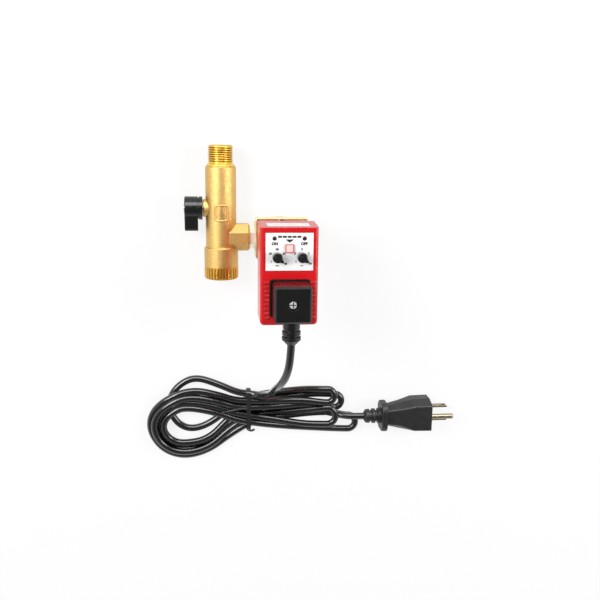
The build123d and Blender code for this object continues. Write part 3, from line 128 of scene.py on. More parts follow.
@dataclass(frozen=True)
class Finish:
    """A real material and how its surface was made.

    Attributes:
        name: the material's name in a maker's words.
        colour: its main colour, sRGB hex.
        shade: the colour of its darker patches.
        metallic: 1 for a bare metal, else 0.
        roughness: its mean roughness.
        sway: how far the roughness wanders from place to place.
        ior: index of refraction, for what is no metal.
        patch_mm: size of the colour patches.
        marks: what its making left on it.
        mark_mm: spacing of those marks.
        depth_mm: height of those marks.
        edge_mm: radius that the edges are worn or moulded to.
        coat: share of a clear glossy skin.
        groove: the painted shade's colour, that the mesh's "groove" attribute fades to, if any.
    """

    name: str
    colour: str
    shade: str
    metallic: float = 0.0
    roughness: float = 0.4
    sway: float = 0.06
    ior: float = 1.5
    patch_mm: float = 6.0
    marks: Marks = Marks.GRAIN
    mark_mm: float = 0.5
    depth_mm: float = 0.02
    edge_mm: float = 0.25
    coat: float = 0.0
    groove: str = ""

    def material(self) -> bpy.types.Material:
        """Build the material, or return the one already built."""
        ready = bpy.data.materials.get(self.name)
        if ready is not None:
            return ready
        material = bpy.data.materials.new(self.name)
        material.use_nodes = True
        tree = material.node_tree
        tree.nodes.clear()
        place = add_node(tree, "ShaderNodeTexCoord").outputs["Object"]
        patches = add_node(tree, "ShaderNodeTexNoise", {
            "Vector": place, "Scale": 1 / (self.patch_mm * MM), "Detail": 3.0})
        colour = add_node(tree, "ShaderNodeMix", {
            0: patches.outputs["Fac"], 6: linear(self.shade), 7: linear(self.colour)},
            data_type="RGBA")
        # painted shade: the colour fades to the groove colour where the "groove" attribute is high
        if self.groove:
            depth = add_node(tree, "ShaderNodeAttribute", attribute_name="groove")
            colour = add_node(tree, "ShaderNodeMix", {
                0: depth.outputs["Fac"], 6: colour.outputs[2], 7: linear(self.groove)},
                data_type="RGBA")
        rough = add_node(tree, "ShaderNodeMapRange", {
            "Value": patches.outputs["Fac"], "From Min": 0.3, "From Max": 0.7,
            "To Min": self.roughness + self.sway, "To Max": self.roughness - self.sway})
        edge = add_node(tree, "ShaderNodeBevel", {"Radius": self.edge_mm * MM}, samples=4)
        bump = add_node(tree, "ShaderNodeBump", {
            "Height": self._mark_height(tree, place), "Distance": self.depth_mm * MM,
            "Normal": edge.outputs["Normal"]})
        shader = add_node(tree, "ShaderNodeBsdfPrincipled", {
            "Base Color": colour.outputs[2], "Metallic": self.metallic,
            "Roughness": rough.outputs["Result"], "Normal": bump.outputs["Normal"],
            "Coat Weight": self.coat})
        if not self.metallic:
            shader.inputs["IOR"].default_value = self.ior
        add_node(tree, "ShaderNodeOutputMaterial", {"Surface": shader.outputs["BSDF"]})
        return material

    def _mark_height(self, tree: bpy.types.NodeTree,
                     place: bpy.types.NodeSocket) -> bpy.types.NodeSocket:
        """Height of the marks: noise for grain, a sine band along the axis for turned rings."""
        if self.marks is Marks.GRAIN:
            return add_node(tree, "ShaderNodeTexNoise", {
                "Vector": place, "Scale": 1 / (self.mark_mm * MM), "Detail": 2.0,
                "Roughness": 0.6}).outputs["Fac"]
        if self.marks is Marks.DRAWN_X:
            stretched = add_node(tree, "ShaderNodeMapping", {
                "Vector": place, "Scale": (0.04, 1.0, 1.0)})
            return add_node(tree, "ShaderNodeTexNoise", {
                "Vector": stretched.outputs["Vector"],
                "Scale": 1 / (self.mark_mm * MM)}).outputs["Fac"]
        # a wave's period is 2 pi / (20 scale)
        return add_node(tree, "ShaderNodeTexWave", {
            "Vector": place, "Scale": 2 * math.pi / (20 * self.mark_mm * MM),
            "Distortion": 0.6, "Detail": 1.0}, wave_type="BANDS",
            bands_direction=self.marks.value).outputs["Fac"]


# Sand-cast brass, blasted and left bare: pale gold, its grain breaks up every reflection.
CAST_BRASS = Finish("sand_cast_brass", "#e3c27c", "#c39a58", metallic=1.0, roughness=0.44,
                    patch_mm=2.5, mark_mm=1.0, depth_mm=0.30, edge_mm=0.5)
# Raised marks of the same casting, with painted shade in the corner round their foot.
CAST_RELIEF = Finish("cast_brass_relief", "#e6c682", "#c69e5c", metallic=1.0, roughness=0.44,
                     patch_mm=2.5, mark_mm=1.0, depth_mm=0.05, edge_mm=0.2, groove="#5c4018")
# The same brass dipped bright: pale, its grain finer.
DIPPED_BRASS = Finish("bright_dipped_brass", "#f3e2b2", "#e7cf94", metallic=1.0, roughness=0.34,
                      patch_mm=3.0, mark_mm=0.7, depth_mm=0.08, edge_mm=0.4)
# Brass bar as it left the mill, the cap's: dull and brownish yellow.
MILLED_BRASS = Finish("milled_brass", "#e0b050", "#c08d38", metallic=1.0, roughness=0.32,
                      patch_mm=3.0, marks=Marks.TURNED_Y, mark_mm=0.5, depth_mm=0.02,
                      edge_mm=0.2)
# Brass from the lathe: deeper yellow, bright, with fine rings round the axis.
TURNED_BRASS = Finish("turned_brass", "#e3b03a", "#c8912a", metallic=1.0, roughness=0.24,
                      marks=Marks.TURNED_Y, mark_mm=0.35, depth_mm=0.010, edge_mm=0.15)
# The inlet thread's: the same, its roots darkened with painted shade.
THREAD_BRASS = Finish("threaded_brass", "#f8d468", "#e4b64a", metallic=1.0, roughness=0.24,
                      marks=Marks.TURNED_Y, mark_mm=0.35, depth_mm=0.010, edge_mm=0.1,
                      groove="#a5782a")
BALL_BRASS = Finish("ground_brass", "#e6c47a", "#d8b060", metallic=1.0, roughness=0.15,
                    mark_mm=1.0, depth_mm=0.004)
# Nickel-plated bar: almost white, the flats drawn smooth.
NICKEL = Finish("nickel_plated_brass", "#f9f8f3", "#efece3", metallic=1.0, roughness=0.45,
                marks=Marks.DRAWN_X, mark_mm=0.4, depth_mm=0.01, edge_mm=0.3)
# Zinc-plated steel: cool grey, cloudy.
ZINC_STEEL = Finish("zinc_plated_steel", "#d4d6d8", "#aeb2b6", metallic=1.0, roughness=0.3,
                    patch_mm=2.0, mark_mm=0.3, depth_mm=0.008, edge_mm=0.12)
# Screw heads in bright zinc, tumbled, so that they scatter the lamps.
SCREW_ZINC = Finish("tumbled_zinc_screw", "#f6f6f4", "#e6e7e8", metallic=1.0, roughness=0.5,
                    patch_mm=1.5, mark_mm=0.4, depth_mm=0.01, edge_mm=0.12)
# Stainless tube and armature: ground bright round the axis.
STAINLESS = Finish("ground_stainless_steel", "#c9c8c4", "#b4b3b0", metallic=1.0, roughness=0.22,
                   marks=Marks.TURNED_Z, mark_mm=0.3, depth_mm=0.006)
# Woven wire cloth: the weave is drawn at 0.8 mm, coarser than the real 0.4 mm, to show.
WIRE_CLOTH = Finish("woven_stainless_cloth", "#b9b8b3", "#8d8c88", metallic=1.0, roughness=0.35,
                    marks=Marks.TURNED_Y, mark_mm=0.8, depth_mm=0.15)
COPPER_WIRE = Finish("enamelled_copper_wire", "#b8622f", "#a3501f", metallic=1.0, roughness=0.28,
                     marks=Marks.TURNED_Z, mark_mm=0.5, depth_mm=0.08)
CONTACT_BRASS = Finish("drawn_contact_brass", "#a59c86", "#8f866e", metallic=1.0, roughness=0.28,
                       marks=Marks.DRAWN_X, mark_mm=0.3, depth_mm=0.01, edge_mm=0.2)
# Injection-moulded ABS, glossy red: a fine mould texture and soft bright edges.
RED_ABS = Finish("moulded_red_abs", "#d90a15", "#cc0811", roughness=0.22, sway=0.03, ior=1.53,
                 patch_mm=20.0, mark_mm=0.6, depth_mm=0.012, edge_mm=0.7)
# Printed polyester film on the panel: flat white.
LABEL_FILM = Finish("white_polyester_film", "#fbfbfb", "#f1f1f1", roughness=0.45, ior=1.6,
                    patch_mm=9.0, mark_mm=0.8, depth_mm=0.003, edge_mm=0.1)
LABEL_INK = Finish("black_printing_ink", "#1b1b1d", "#141416", roughness=0.5, ior=1.5,
                   patch_mm=2.0, mark_mm=0.3, depth_mm=0.002, edge_mm=0.02)
RED_INK = Finish("red_printing_ink", "#d8505a", "#cc4650", roughness=0.5, ior=1.5,
                 patch_mm=2.0, mark_mm=0.3, depth_mm=0.002, edge_mm=0.02)
# Glass-filled nylon of the lever: black, satin, the fibres give a faint grain.
LEVER_NYLON = Finish("black_glass_filled_nylon", "#0c0d0f", "#070809", roughness=0.24, sway=0.06,
                     ior=1.53, patch_mm=3.0, mark_mm=0.5, depth_mm=0.03, edge_mm=0.6)
# Polyamide of the connector: near black, its edges catch the light.
CONNECTOR_NYLON = Finish("black_polyamide", "#0b0c0d", "#070708", roughness=0.22, sway=0.05,
                         ior=1.53, patch_mm=5.0, mark_mm=0.5, depth_mm=0.02, edge_mm=0.5)
KNOB_PHENOLIC = Finish("gloss_black_phenolic", "#101012", "#0a0a0b", roughness=0.16, sway=0.03,
                       ior=1.6, patch_mm=3.0, mark_mm=0.4, depth_mm=0.004, edge_mm=0.3, coat=0.3)
# Plasticised PVC of the lead: black and shiny, with long soft highlights.
CORD_VINYL = Finish("black_plasticised_pvc", "#08080a", "#050506", roughness=0.22, sway=0.04,
                    ior=1.54, patch_mm=8.0, mark_mm=1.6, depth_mm=0.006, edge_mm=0.3, coat=0.55)
PLUG_VINYL = Finish("black_moulded_pvc", "#18191b", "#0f1011", roughness=0.44, sway=0.06,
                    ior=1.54, patch_mm=6.0, mark_mm=0.7, depth_mm=0.03, edge_mm=0.8)
TIE_VINYL = Finish("black_tie_ribbon", "#1c1c1e", "#111113", roughness=0.4, ior=1.54,
                   patch_mm=3.0, mark_mm=0.4, depth_mm=0.02, edge_mm=0.1)
NITRILE = Finish("nitrile_rubber", "#17171a", "#101012", roughness=0.6, ior=1.52,
                 patch_mm=3.0, mark_mm=0.3, depth_mm=0.02)
WHITE_NYLON = Finish("natural_nylon", "#efece2", "#e2ded2", roughness=0.4, ior=1.53,
                     patch_mm=5.0, mark_mm=0.5, depth_mm=0.01)
BUTTON_ABS = Finish("pale_pink_abs", "#f3dcd8", "#edd0cb", roughness=0.3, ior=1.53,
                    patch_mm=3.0, mark_mm=0.4, depth_mm=0.004, edge_mm=0.3)
LAMP_RED = Finish("dark_red_epoxy", "#4a0e14", "#360a0f", roughness=0.12, ior=1.55,
                  patch_mm=1.0, mark_mm=0.5, depth_mm=0.002, coat=0.5)
SOLDER_MASK = Finish("green_solder_mask", "#1f6b34", "#19592b", roughness=0.25, ior=1.55,
                     patch_mm=2.5, mark_mm=1.0, depth_mm=0.03)
POT_PLASTIC = Finish("blue_diallyl_phthalate", "#27508a", "#1f4275", roughness=0.35, ior=1.55,
                     patch_mm=2.0, mark_mm=0.4, depth_mm=0.01)
PART_PLASTIC = Finish("epoxy_moulding_compound", "#26262a", "#1d1d20", roughness=0.45, ior=1.55,
                      patch_mm=2.0, mark_mm=0.3, depth_mm=0.01)


def dress(finish: Finish, *nodes: str) -> None:
    """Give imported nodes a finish.

    Args:
        finish: the finish that their material slots take.
        nodes: the names of the nodes.
    """
    for name in nodes:
        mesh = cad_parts[name].data
        mesh.materials.clear()
        mesh.materials.append(finish.material())
        log.info("dressed %s in %s", name, finish.name)


# ------------------------------------------------------------------ surfaces
def new_piece(name: str, vertices: np.ndarray, faces: Faces, finish: Finish, body: str,
              smooth: bool = True) -> bpy.types.Object:
    """Make a piece of a vertex array and its faces, with outward normals.

    Args:
        name: the piece's name.
        vertices: points in metres, one row each.
        faces: vertex numbers of each face.
        finish: its finish.
        body: the body that it rides on.
        smooth: whether its faces are shaded smooth.

    Returns:
        The new object, at the origin.
    """
    mesh = bpy.data.meshes.new(name)
    mesh.from_pydata(vertices.reshape(-1, 3).tolist(), [], faces)
    work = bmesh.new()
    work.from_mesh(mesh)
    bmesh.ops.recalc_face_normals(work, faces=work.faces)
    work.to_mesh(mesh)
    work.free()
    if smooth:
        mesh.shade_smooth()
    mesh.materials.append(finish.material())
    piece = add_object(name, mesh)
    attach(piece, body)
    log.info("made %s with %d faces", name, len(faces))
    return piece


def paint_groove_shade(piece: bpy.types.Object, depth: np.ndarray) -> None:
    """Store how deep in a groove or corner each vertex lies, for a finish that paints shade there.

    Args:
        piece: a piece whose finish has a groove colour.
        depth: 0 for open surface to 1 for the groove's root, in the vertices' order.
    """
    groove = piece.data.attributes.new("groove", "FLOAT", "POINT")
    groove.data.foreach_set("value", np.asarray(depth, dtype=float).ravel())


def grid_faces(rows: int, columns: int, wrap_rows: bool, wrap_columns: bool,
               first: int = 0) -> Faces:
    """Four-sided faces between neighbours of a grid of points.

    Args:
        rows: number of rows of points.
        columns: points in a row.
        wrap_rows: whether the last row joins the first.
        wrap_columns: whether the last column joins the first.
        first: number of the grid's first vertex.

    Returns:
        The faces, as lists of four vertex numbers.
    """
    row = np.arange(rows if wrap_rows else rows - 1)[:, None]
    column = np.arange(columns if wrap_columns else columns - 1)[None, :]
    below, beside = (row + 1) % rows, (column + 1) % columns
    corners = (row * columns + column, row * columns + beside,
               below * columns + beside, below * columns + column)
    quads = np.stack(np.broadcast_arrays(*corners), axis=-1).reshape(-1, 4) + first
    return quads.tolist()


def closed_stack(rings: int, around: int) -> Faces:
    """Faces of a stack of closed rings of points, with both end rings filled.

    Args:
        rings: number of rings.
        around: points in a ring.

    Returns:
        The faces, as lists of vertex numbers.
    """
    last = (rings - 1) * around
    return (grid_faces(rings, around, False, True)
            + [list(range(around - 1, -1, -1)), list(range(last, last + around))])


def join_surfaces(parts: list[Surface]) -> Surface:
    """Put several vertex arrays and their faces into one.

    Args:
        parts: pairs of a vertex array and its faces.

    Returns:
        All vertices and all faces.
    """
    counts = np.cumsum([0] + [len(points) for points, _ in parts])
    faces = [[corner + start for corner in face]
             for start, (_, own) in zip(counts, parts) for face in own]
    return np.concatenate([points for points, _ in parts]), faces


def slab(outline: np.ndarray, low: float, high: float) -> Surface:
    """A flat-topped block: an outline in the XY plane, raised from one height to another.

    Args:
        outline: points of a simple closed outline, one row each.
        low: height of its underside.
        high: height of its top.

    Returns:
        Its vertices and faces.
    """
    count = len(outline)
    points = np.concatenate([np.column_stack([outline, np.full(count, z)]) for z in (low, high)])
    return points, closed_stack(2, count)


def lettering(text: str, size: float, x: float, y: float, low: float, high: float,
              weight: float = 0.10) -> Surface:
    """Raised characters of printing ink, centred on a place.

    Args:
        text: the characters.
        size: their height, in metres.
        x: the middle of the text.
        y: the middle of its height.
        low: height of the surface that they are printed on.
        high: height of the ink.
        weight: how far the strokes are fattened, as a share of the height.

    Returns:
        Their vertices and faces.
    """
    curve = bpy.data.curves.new("lettering", "FONT")
    curve.body, curve.size = text, size / 0.7
    curve.align_x, curve.align_y = "CENTER", "CENTER"
    curve.extrude, curve.offset = (high - low) / 2, weight * size
    holder = add_object("lettering", curve)
    bpy.context.view_layer.update()
    mesh = bpy.data.meshes.new_from_object(holder)
    points = np.empty(len(mesh.vertices) * 3)
    mesh.vertices.foreach_get("co", points)
    faces = [list(face.vertices) for face in mesh.polygons]
    bpy.data.objects.remove(holder)
    bpy.data.meshes.remove(mesh)
    bpy.data.curves.remove(curve)
    return points.reshape(-1, 3) + np.array([x, y, (low + high) / 2]), faces


def tube(path: np.ndarray, radius: float, around: int = 12) -> Surface:
    """A thin round bar along a path: a circle in the plane across it at every point.

    Args:
        path: points of its middle line, one row each.
        radius: its radius.
        around: points round the circle.

    Returns:
        Its vertices and faces, both ends closed.
    """
    along = np.gradient(path, axis=0)
    along /= np.linalg.norm(along, axis=1)[:, None]
    side = np.cross(along, (0.0, 0.0, 1.0))
    side /= np.linalg.norm(side, axis=1)[:, None]
    up = np.cross(side, along)
    turn = np.linspace(0, 2 * math.pi, around, endpoint=False)[None, :, None]
    points = path[:, None] + radius * (np.cos(turn) * side[:, None] + np.sin(turn) * up[:, None])
    return points.reshape(-1, 3), closed_stack(len(path), around)


# ------------------------------------------------------------------ studio
@dataclass
class Studio:
    """Camera, lamps, world and floor.

    Attributes:
        eye: where the camera stands.
        lens_mm: its focal length on a 36 mm sensor.
        lamp_watts: power of the lamp over the left shoulder.
        strip_watts: power of the long lamp beyond the object, which only glossy rays see.
        fill_watts: power of the smaller lamp from the right.
        world_light: strength of the light from all round.
        zenith: what a mirror ray finds straight overhead, where white at the horizon is 1.
        aim: the place that every lamp faces.
        lift: how far the table that the eye sees is raised toward plain white.
    """

    eye: Place = (-0.02936, 0.07781, 0.65491)
    lens_mm: float = 45.04
    lamp_watts: float = 8.5
    strip_watts: float = 17.0
    fill_watts: float = 4.0
    world_light: float = 0.42
    zenith: float = 0.24
    aim: Place = (0.03, -0.06, 0.03)
    lift: float = 0.84

    def camera(self) -> None:
        """Stand the camera over the object, looking down and a little to the right."""
        data = bpy.data.cameras.new("camera")
        data.lens, data.sensor_width = self.lens_mm, 36.0
        data.clip_start, data.clip_end = 0.05, 10.0
        camera = add_object("camera", data)
        turn = Matrix(((0.993158, 0.012077, -0.116153), (0.012284, 0.978316, 0.206755),
                       (0.116132, -0.206767, 0.971474)))
        camera.matrix_world = Matrix.Translation(self.eye) @ turn.to_4x4()
        bpy.context.scene.camera = camera

    def lamp(self, name: str, place: Place, wide: float, tall: float,
             watts: float, only_gloss: bool = False) -> None:
        """Hang a soft lamp that faces the object.

        Args:
            name: its name.
            place: where it hangs.
            wide: its size along the table.
            tall: its other size.
            watts: its power.
            only_gloss: whether it makes highlights and nothing else.
        """
        data = bpy.data.lights.new(name, "AREA")
        data.shape, data.energy, data.size, data.size_y = "RECTANGLE", watts, wide, tall
        lamp = add_object(name, data)
        back = Vector(place) - Vector(self.aim)
        turn = back.to_track_quat("Z", "Y").to_matrix().to_4x4()
        lamp.matrix_world = Matrix.Translation(place) @ turn
        lamp.visible_diffuse = not only_gloss

    def world(self) -> None:
        """Even pale light; the eye finds it white, a mirror ray white low down, grey overhead."""
        world = bpy.data.worlds.new("studio")
        world.use_nodes = True
        tree = world.node_tree
        tree.nodes.clear()
        ray = add_node(tree, "ShaderNodeLightPath").outputs
        way = add_node(tree, "ShaderNodeTexCoord").outputs["Generated"]
        rise = add_node(tree, "ShaderNodeSeparateXYZ", {"Vector": way}).outputs["Z"]
        mirrored = add_node(tree, "ShaderNodeMapRange", {
            "Value": rise, "From Min": 0.25, "From Max": 0.85, "To Min": 1.0,
            "To Max": self.zenith}, interpolation_type="SMOOTHSTEP").outputs["Result"]
        plain = add_node(tree, "ShaderNodeMath", {0: ray["Is Camera Ray"],
                                                  1: ray["Is Transmission Ray"]},
                         operation="MAXIMUM").outputs[0]
        strength = add_node(tree, "ShaderNodeMix", {
            0: ray["Is Glossy Ray"], 2: self.world_light, 3: mirrored}).outputs[0]
        strength = add_node(tree, "ShaderNodeMix", {0: plain, 2: strength, 3: 1.0}).outputs[0]
        light = add_node(tree, "ShaderNodeBackground", {
            "Color": linear(WHITE), "Strength": strength})
        add_node(tree, "ShaderNodeOutputWorld", {"Surface": light.outputs[0]})
        bpy.context.scene.world = world

    def floor(self) -> None:
        """A white table; what the eye sees of it is lifted to white, and keeps the shadow."""
        half = 3.0
        mesh = bpy.data.meshes.new("table")
        mesh.from_pydata([(-half, -half, 0), (half, -half, 0), (half, half, 0), (-half, half, 0)],
                         [], [(0, 1, 2, 3)])
        material = bpy.data.materials.new("white_paper")
        material.use_nodes = True
        tree = material.node_tree
        tree.nodes.clear()
        ray = add_node(tree, "ShaderNodeLightPath").outputs
        paper = add_node(tree, "ShaderNodeBsdfDiffuse", {"Color": linear("#fafafa")})
        glow = add_node(tree, "ShaderNodeEmission", {
            "Color": linear(WHITE), "Strength": 1.0})
        lifted = add_node(tree, "ShaderNodeMixShader", {
            0: self.lift, 1: paper.outputs[0], 2: glow.outputs[0]})
        seen = add_node(tree, "ShaderNodeMath", {0: ray["Is Camera Ray"], 1: ray["Is Glossy Ray"]},
                        operation="MAXIMUM")
        both = add_node(tree, "ShaderNodeMixShader", {
            0: seen.outputs[0], 1: paper.outputs[0], 2: lifted.outputs[0]})
        add_node(tree, "ShaderNodeOutputMaterial", {"Surface": both.outputs[0]})
        mesh.materials.append(material)
        table = add_object("table", mesh)

    def build(self) -> None:
        """Set up camera, light and floor."""
        self.camera()
        self.world()
        self.lamp("soft_lamp", (-0.70, 0.30, 0.80), 0.5, 0.5, self.lamp_watts)
        self.lamp("strip_lamp", (-0.05, 0.75, 0.72), 1.6, 0.5, self.strip_watts,
                  only_gloss=True)
        self.lamp("fill_lamp", (0.75, 0.05, 0.60), 0.4, 0.4, self.fill_watts)
        self.floor()
        bpy.context.scene.view_settings.view_transform = "Standard"
        log.info("studio ready")


# ------------------------------------------------------------------ mains cord
@dataclass(frozen=True)
class LeftLoop:
    """A wide left loop of the hank, in millimetres.  It starts and ends at the tie.

    Attributes:
        over_y: where it leaves the tie, in the upper layer.
        top_y: its far side.
        reach: its left end.
        bottom_y: its near side.
        under_y: where it comes back to the tie, in the lower layer.
        heights: of its shoulder, its left end and its near side.
    """

    over_y: float
    top_y: float
    reach: float
    bottom_y: float
    under_y: float
    heights: tuple[float, float, float]

    def points(self) -> list[Place]:
        """Control points: shares of the loop's width and depth, round an egg-shaped end."""
        shoulder, end, near = self.heights
        depth = self.top_y - self.bottom_y
        width = min(-45.0 - self.reach, 0.60 * depth)
        return [
            (-8.0, self.over_y + 1.0, UPPER_LAYER),
            (-25.0, 0.40 * self.over_y + 0.60 * self.top_y, max(shoulder, 6.5)),
            (self.reach + width, self.top_y + 0.8, shoulder),
            (self.reach + 0.40 * width, self.top_y - 0.12 * depth, shoulder),
            (self.reach + 0.04 * width, self.top_y - 0.36 * depth, end),
            (self.reach + 0.01 * width, self.top_y - 0.63 * depth, end),
            (self.reach + 0.30 * width, self.top_y - 0.90 * depth, near),
            (self.reach + 0.80 * width, self.bottom_y - 1.0, near),
            (-34.0, self.bottom_y + 0.07 * depth, near),
            (-15.0, 0.62 * self.under_y + 0.38 * self.bottom_y, LOWER_LAYER),
            (4.0, self.under_y, LOWER_LAYER),
        ]


@dataclass(frozen=True)
class RightFold:
    """A tight right fold of the hank, in millimetres, between two loops.

    Attributes:
        far_y: its far strand, before the fold.
        top_y: its far strand at the fold.
        reach: its right end.
        bottom_y: its near strand at the fold.
        near_y: its near strand, after the fold.
        height: how high its end lies.
    """

    far_y: float
    top_y: float
    reach: float
    bottom_y: float
    near_y: float
    height: float

    def points(self, under_y: float, over_y: float) -> list[Place]:
        """Control points: the far strand, a half circle, the near strand.

        Args:
            under_y: where the far strand comes from at the tie.
            over_y: where the near strand goes to at the tie.

        Returns:
            The points; those of a half circle stand at 1 and 0.414 of its radius.
        """
        radius = (self.top_y - self.bottom_y) / 2
        middle, centre = (self.top_y + self.bottom_y) / 2, self.reach - radius
        near = 0.414 * radius
        return [
            (24.0, 0.52 * under_y + 0.48 * self.far_y, LOWER_LAYER),
            (centre - 22.0, self.far_y, 0.6 * LOWER_LAYER + 0.4 * self.height),
            (centre - near, self.top_y, self.height),
            (centre + near, self.top_y, self.height),
            (self.reach, middle + near, self.height),
            (self.reach, middle - near, self.height),
            (centre + near, self.bottom_y, self.height),
            (centre - near, self.bottom_y, self.height),
            (centre - 24.0, self.near_y, 0.4 * UPPER_LAYER + 0.6 * self.height),
            (24.0, 0.45 * self.near_y + 0.55 * over_y, UPPER_LAYER),
        ]


@dataclass
class MainsCord:
    """The mains lead: out of the strain relief, down to the table, a tied hank, the plug.

    Attributes:
        diameter: the cord's diameter.
        length: its whole length; not used.
        loops: the hank's left loops, in order along the cord.
        folds: the right folds between them.
        lead: the route from the strain relief to the tie.
        tail: the route from the tie to the plug.
        tie_radius: half the thickness of the tie's free ends.
    """

    diameter: float = 0.0062
    length: float = 1.95
    loops: tuple[LeftLoop, ...] = (
        LeftLoop(-144.8, -131.0, -69.0, -179.0, -149.8, (3.2, 3.2, 3.2)),
        LeftLoop(-153.0, -141.0, -87.0, -205.0, -174.6, (9.0, 3.2, 3.2)),
        LeftLoop(-171.4, -157.0, -74.5, -191.0, -156.0, (9.4, 9.0, 7.4)),
        LeftLoop(-159.2, -146.8, -83.0, -200.2, -168.4, (10.6, 9.0, 7.4)),
        LeftLoop(-165.4, -152.2, -78.5, -195.0, -162.2, (8.6, 3.2, 3.2)),
    )
    folds: tuple[RightFold, ...] = (
        RightFold(-143.4, -143.0, 80.5, -155.8, -152.4, 9.3),
        RightFold(-166.0, -170.6, 101.5, -184.0, -181.6, 3.3),
        RightFold(-148.6, -149.8, 88.0, -162.6, -157.4, 3.3),
        RightFold(-163.8, -160.8, 82.0, -176.6, -175.4, 9.4),
    )
    lead: tuple[Place, ...] = (
        (30.2, -74.2, 103.9), (29.6, -88.0, 103.9), (27.2, -101.2, 99.0),
        (23.7, -111.3, 88.8), (21.4, -120.0, 72.0), (20.9, -128.0, 55.0),
        (20.6, -134.8, 40.0), (18.8, -140.2, 28.0), (15.0, -144.0, 18.0),
        (9.5, -145.9, 11.3), (1.0, -145.0, 8.9))
    tail: tuple[Place, ...] = (
        (28.0, -159.0, 3.2), (54.0, -161.5, 3.2), (70.0, -165.8, 3.4), (82.0, -168.2, 6.0),
        (92.0, -168.9, 10.6), (100.0, -168.9, 12.0), (107.7, -168.9, 12.0))
    tie_radius: float = 1.0 * MM

    def route(self) -> np.ndarray:
        """The spline's control points in metres: lead, loops and folds in turn, tail."""
        points = list(self.lead)
        for place, loop in enumerate(self.loops):
            points += loop.points()
            if place < len(self.folds):
                points += self.folds[place].points(loop.under_y, self.loops[place + 1].over_y)
        points += list(self.tail)
        return np.array(points) * MM

    def build(self) -> None:
        curve = bpy.data.curves.new("mains_cord", "CURVE")
        curve.dimensions = "3D"
        curve.resolution_u = 8
        curve.bevel_depth = self.diameter / 2
        curve.bevel_resolution = 6
        curve.use_fill_caps = True
        spline = curve.splines.new("NURBS")
        route = self.route()
        spline.points.add(len(route) - 1)
        spline.points.foreach_set("co", np.column_stack([route, np.ones(len(route))]).ravel())
        spline.order_u = 3
        spline.use_endpoint_u = True
        curve.materials.append(CORD_VINYL.material())
        cord = add_object("mains_cord", curve)
        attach(cord, "valve")
        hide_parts("cord_lead", "cord_hank", "cord_tail")
        dress(TIE_VINYL, "cord_tie")
        self.tie_ends()
        dress(PLUG_VINYL, "mains_plug")
        dress(CONNECTOR_NYLON, "strain_relief")
        dress(CONTACT_BRASS, "plug_blades", "plug_pin")

    def tie_ends(self) -> None:
        """The tie's two free ends: a parabola from inside its band out over the strands."""
        low, high = (np.array(corner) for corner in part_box("cord_tie"))
        step = np.linspace(0, 1, 12)[:, None]
        ends = []
        for start, bend, end in (
                ((1.6, low[1] / MM + 1.0, 8.0), (3.5, low[1] / MM - 1.5, 9.0),
                 (7.5, low[1] / MM - 1.6, 3.5)),
                ((1.0, -158.0, high[2] / MM - 0.8), (-13.0, -158.5, high[2] / MM + 1.2),
                 (-29.0, -165.5, 7.5))):
            start, bend, end = (np.array(place) * MM for place in (start, bend, end))
            path = (1 - step) ** 2 * start + 2 * step * (1 - step) * bend + step ** 2 * end
            ends.append(tube(path, self.tie_radius))
        points, faces = join_surfaces(ends)
        new_piece("tie_ends", points, faces, TIE_VINYL, "valve")


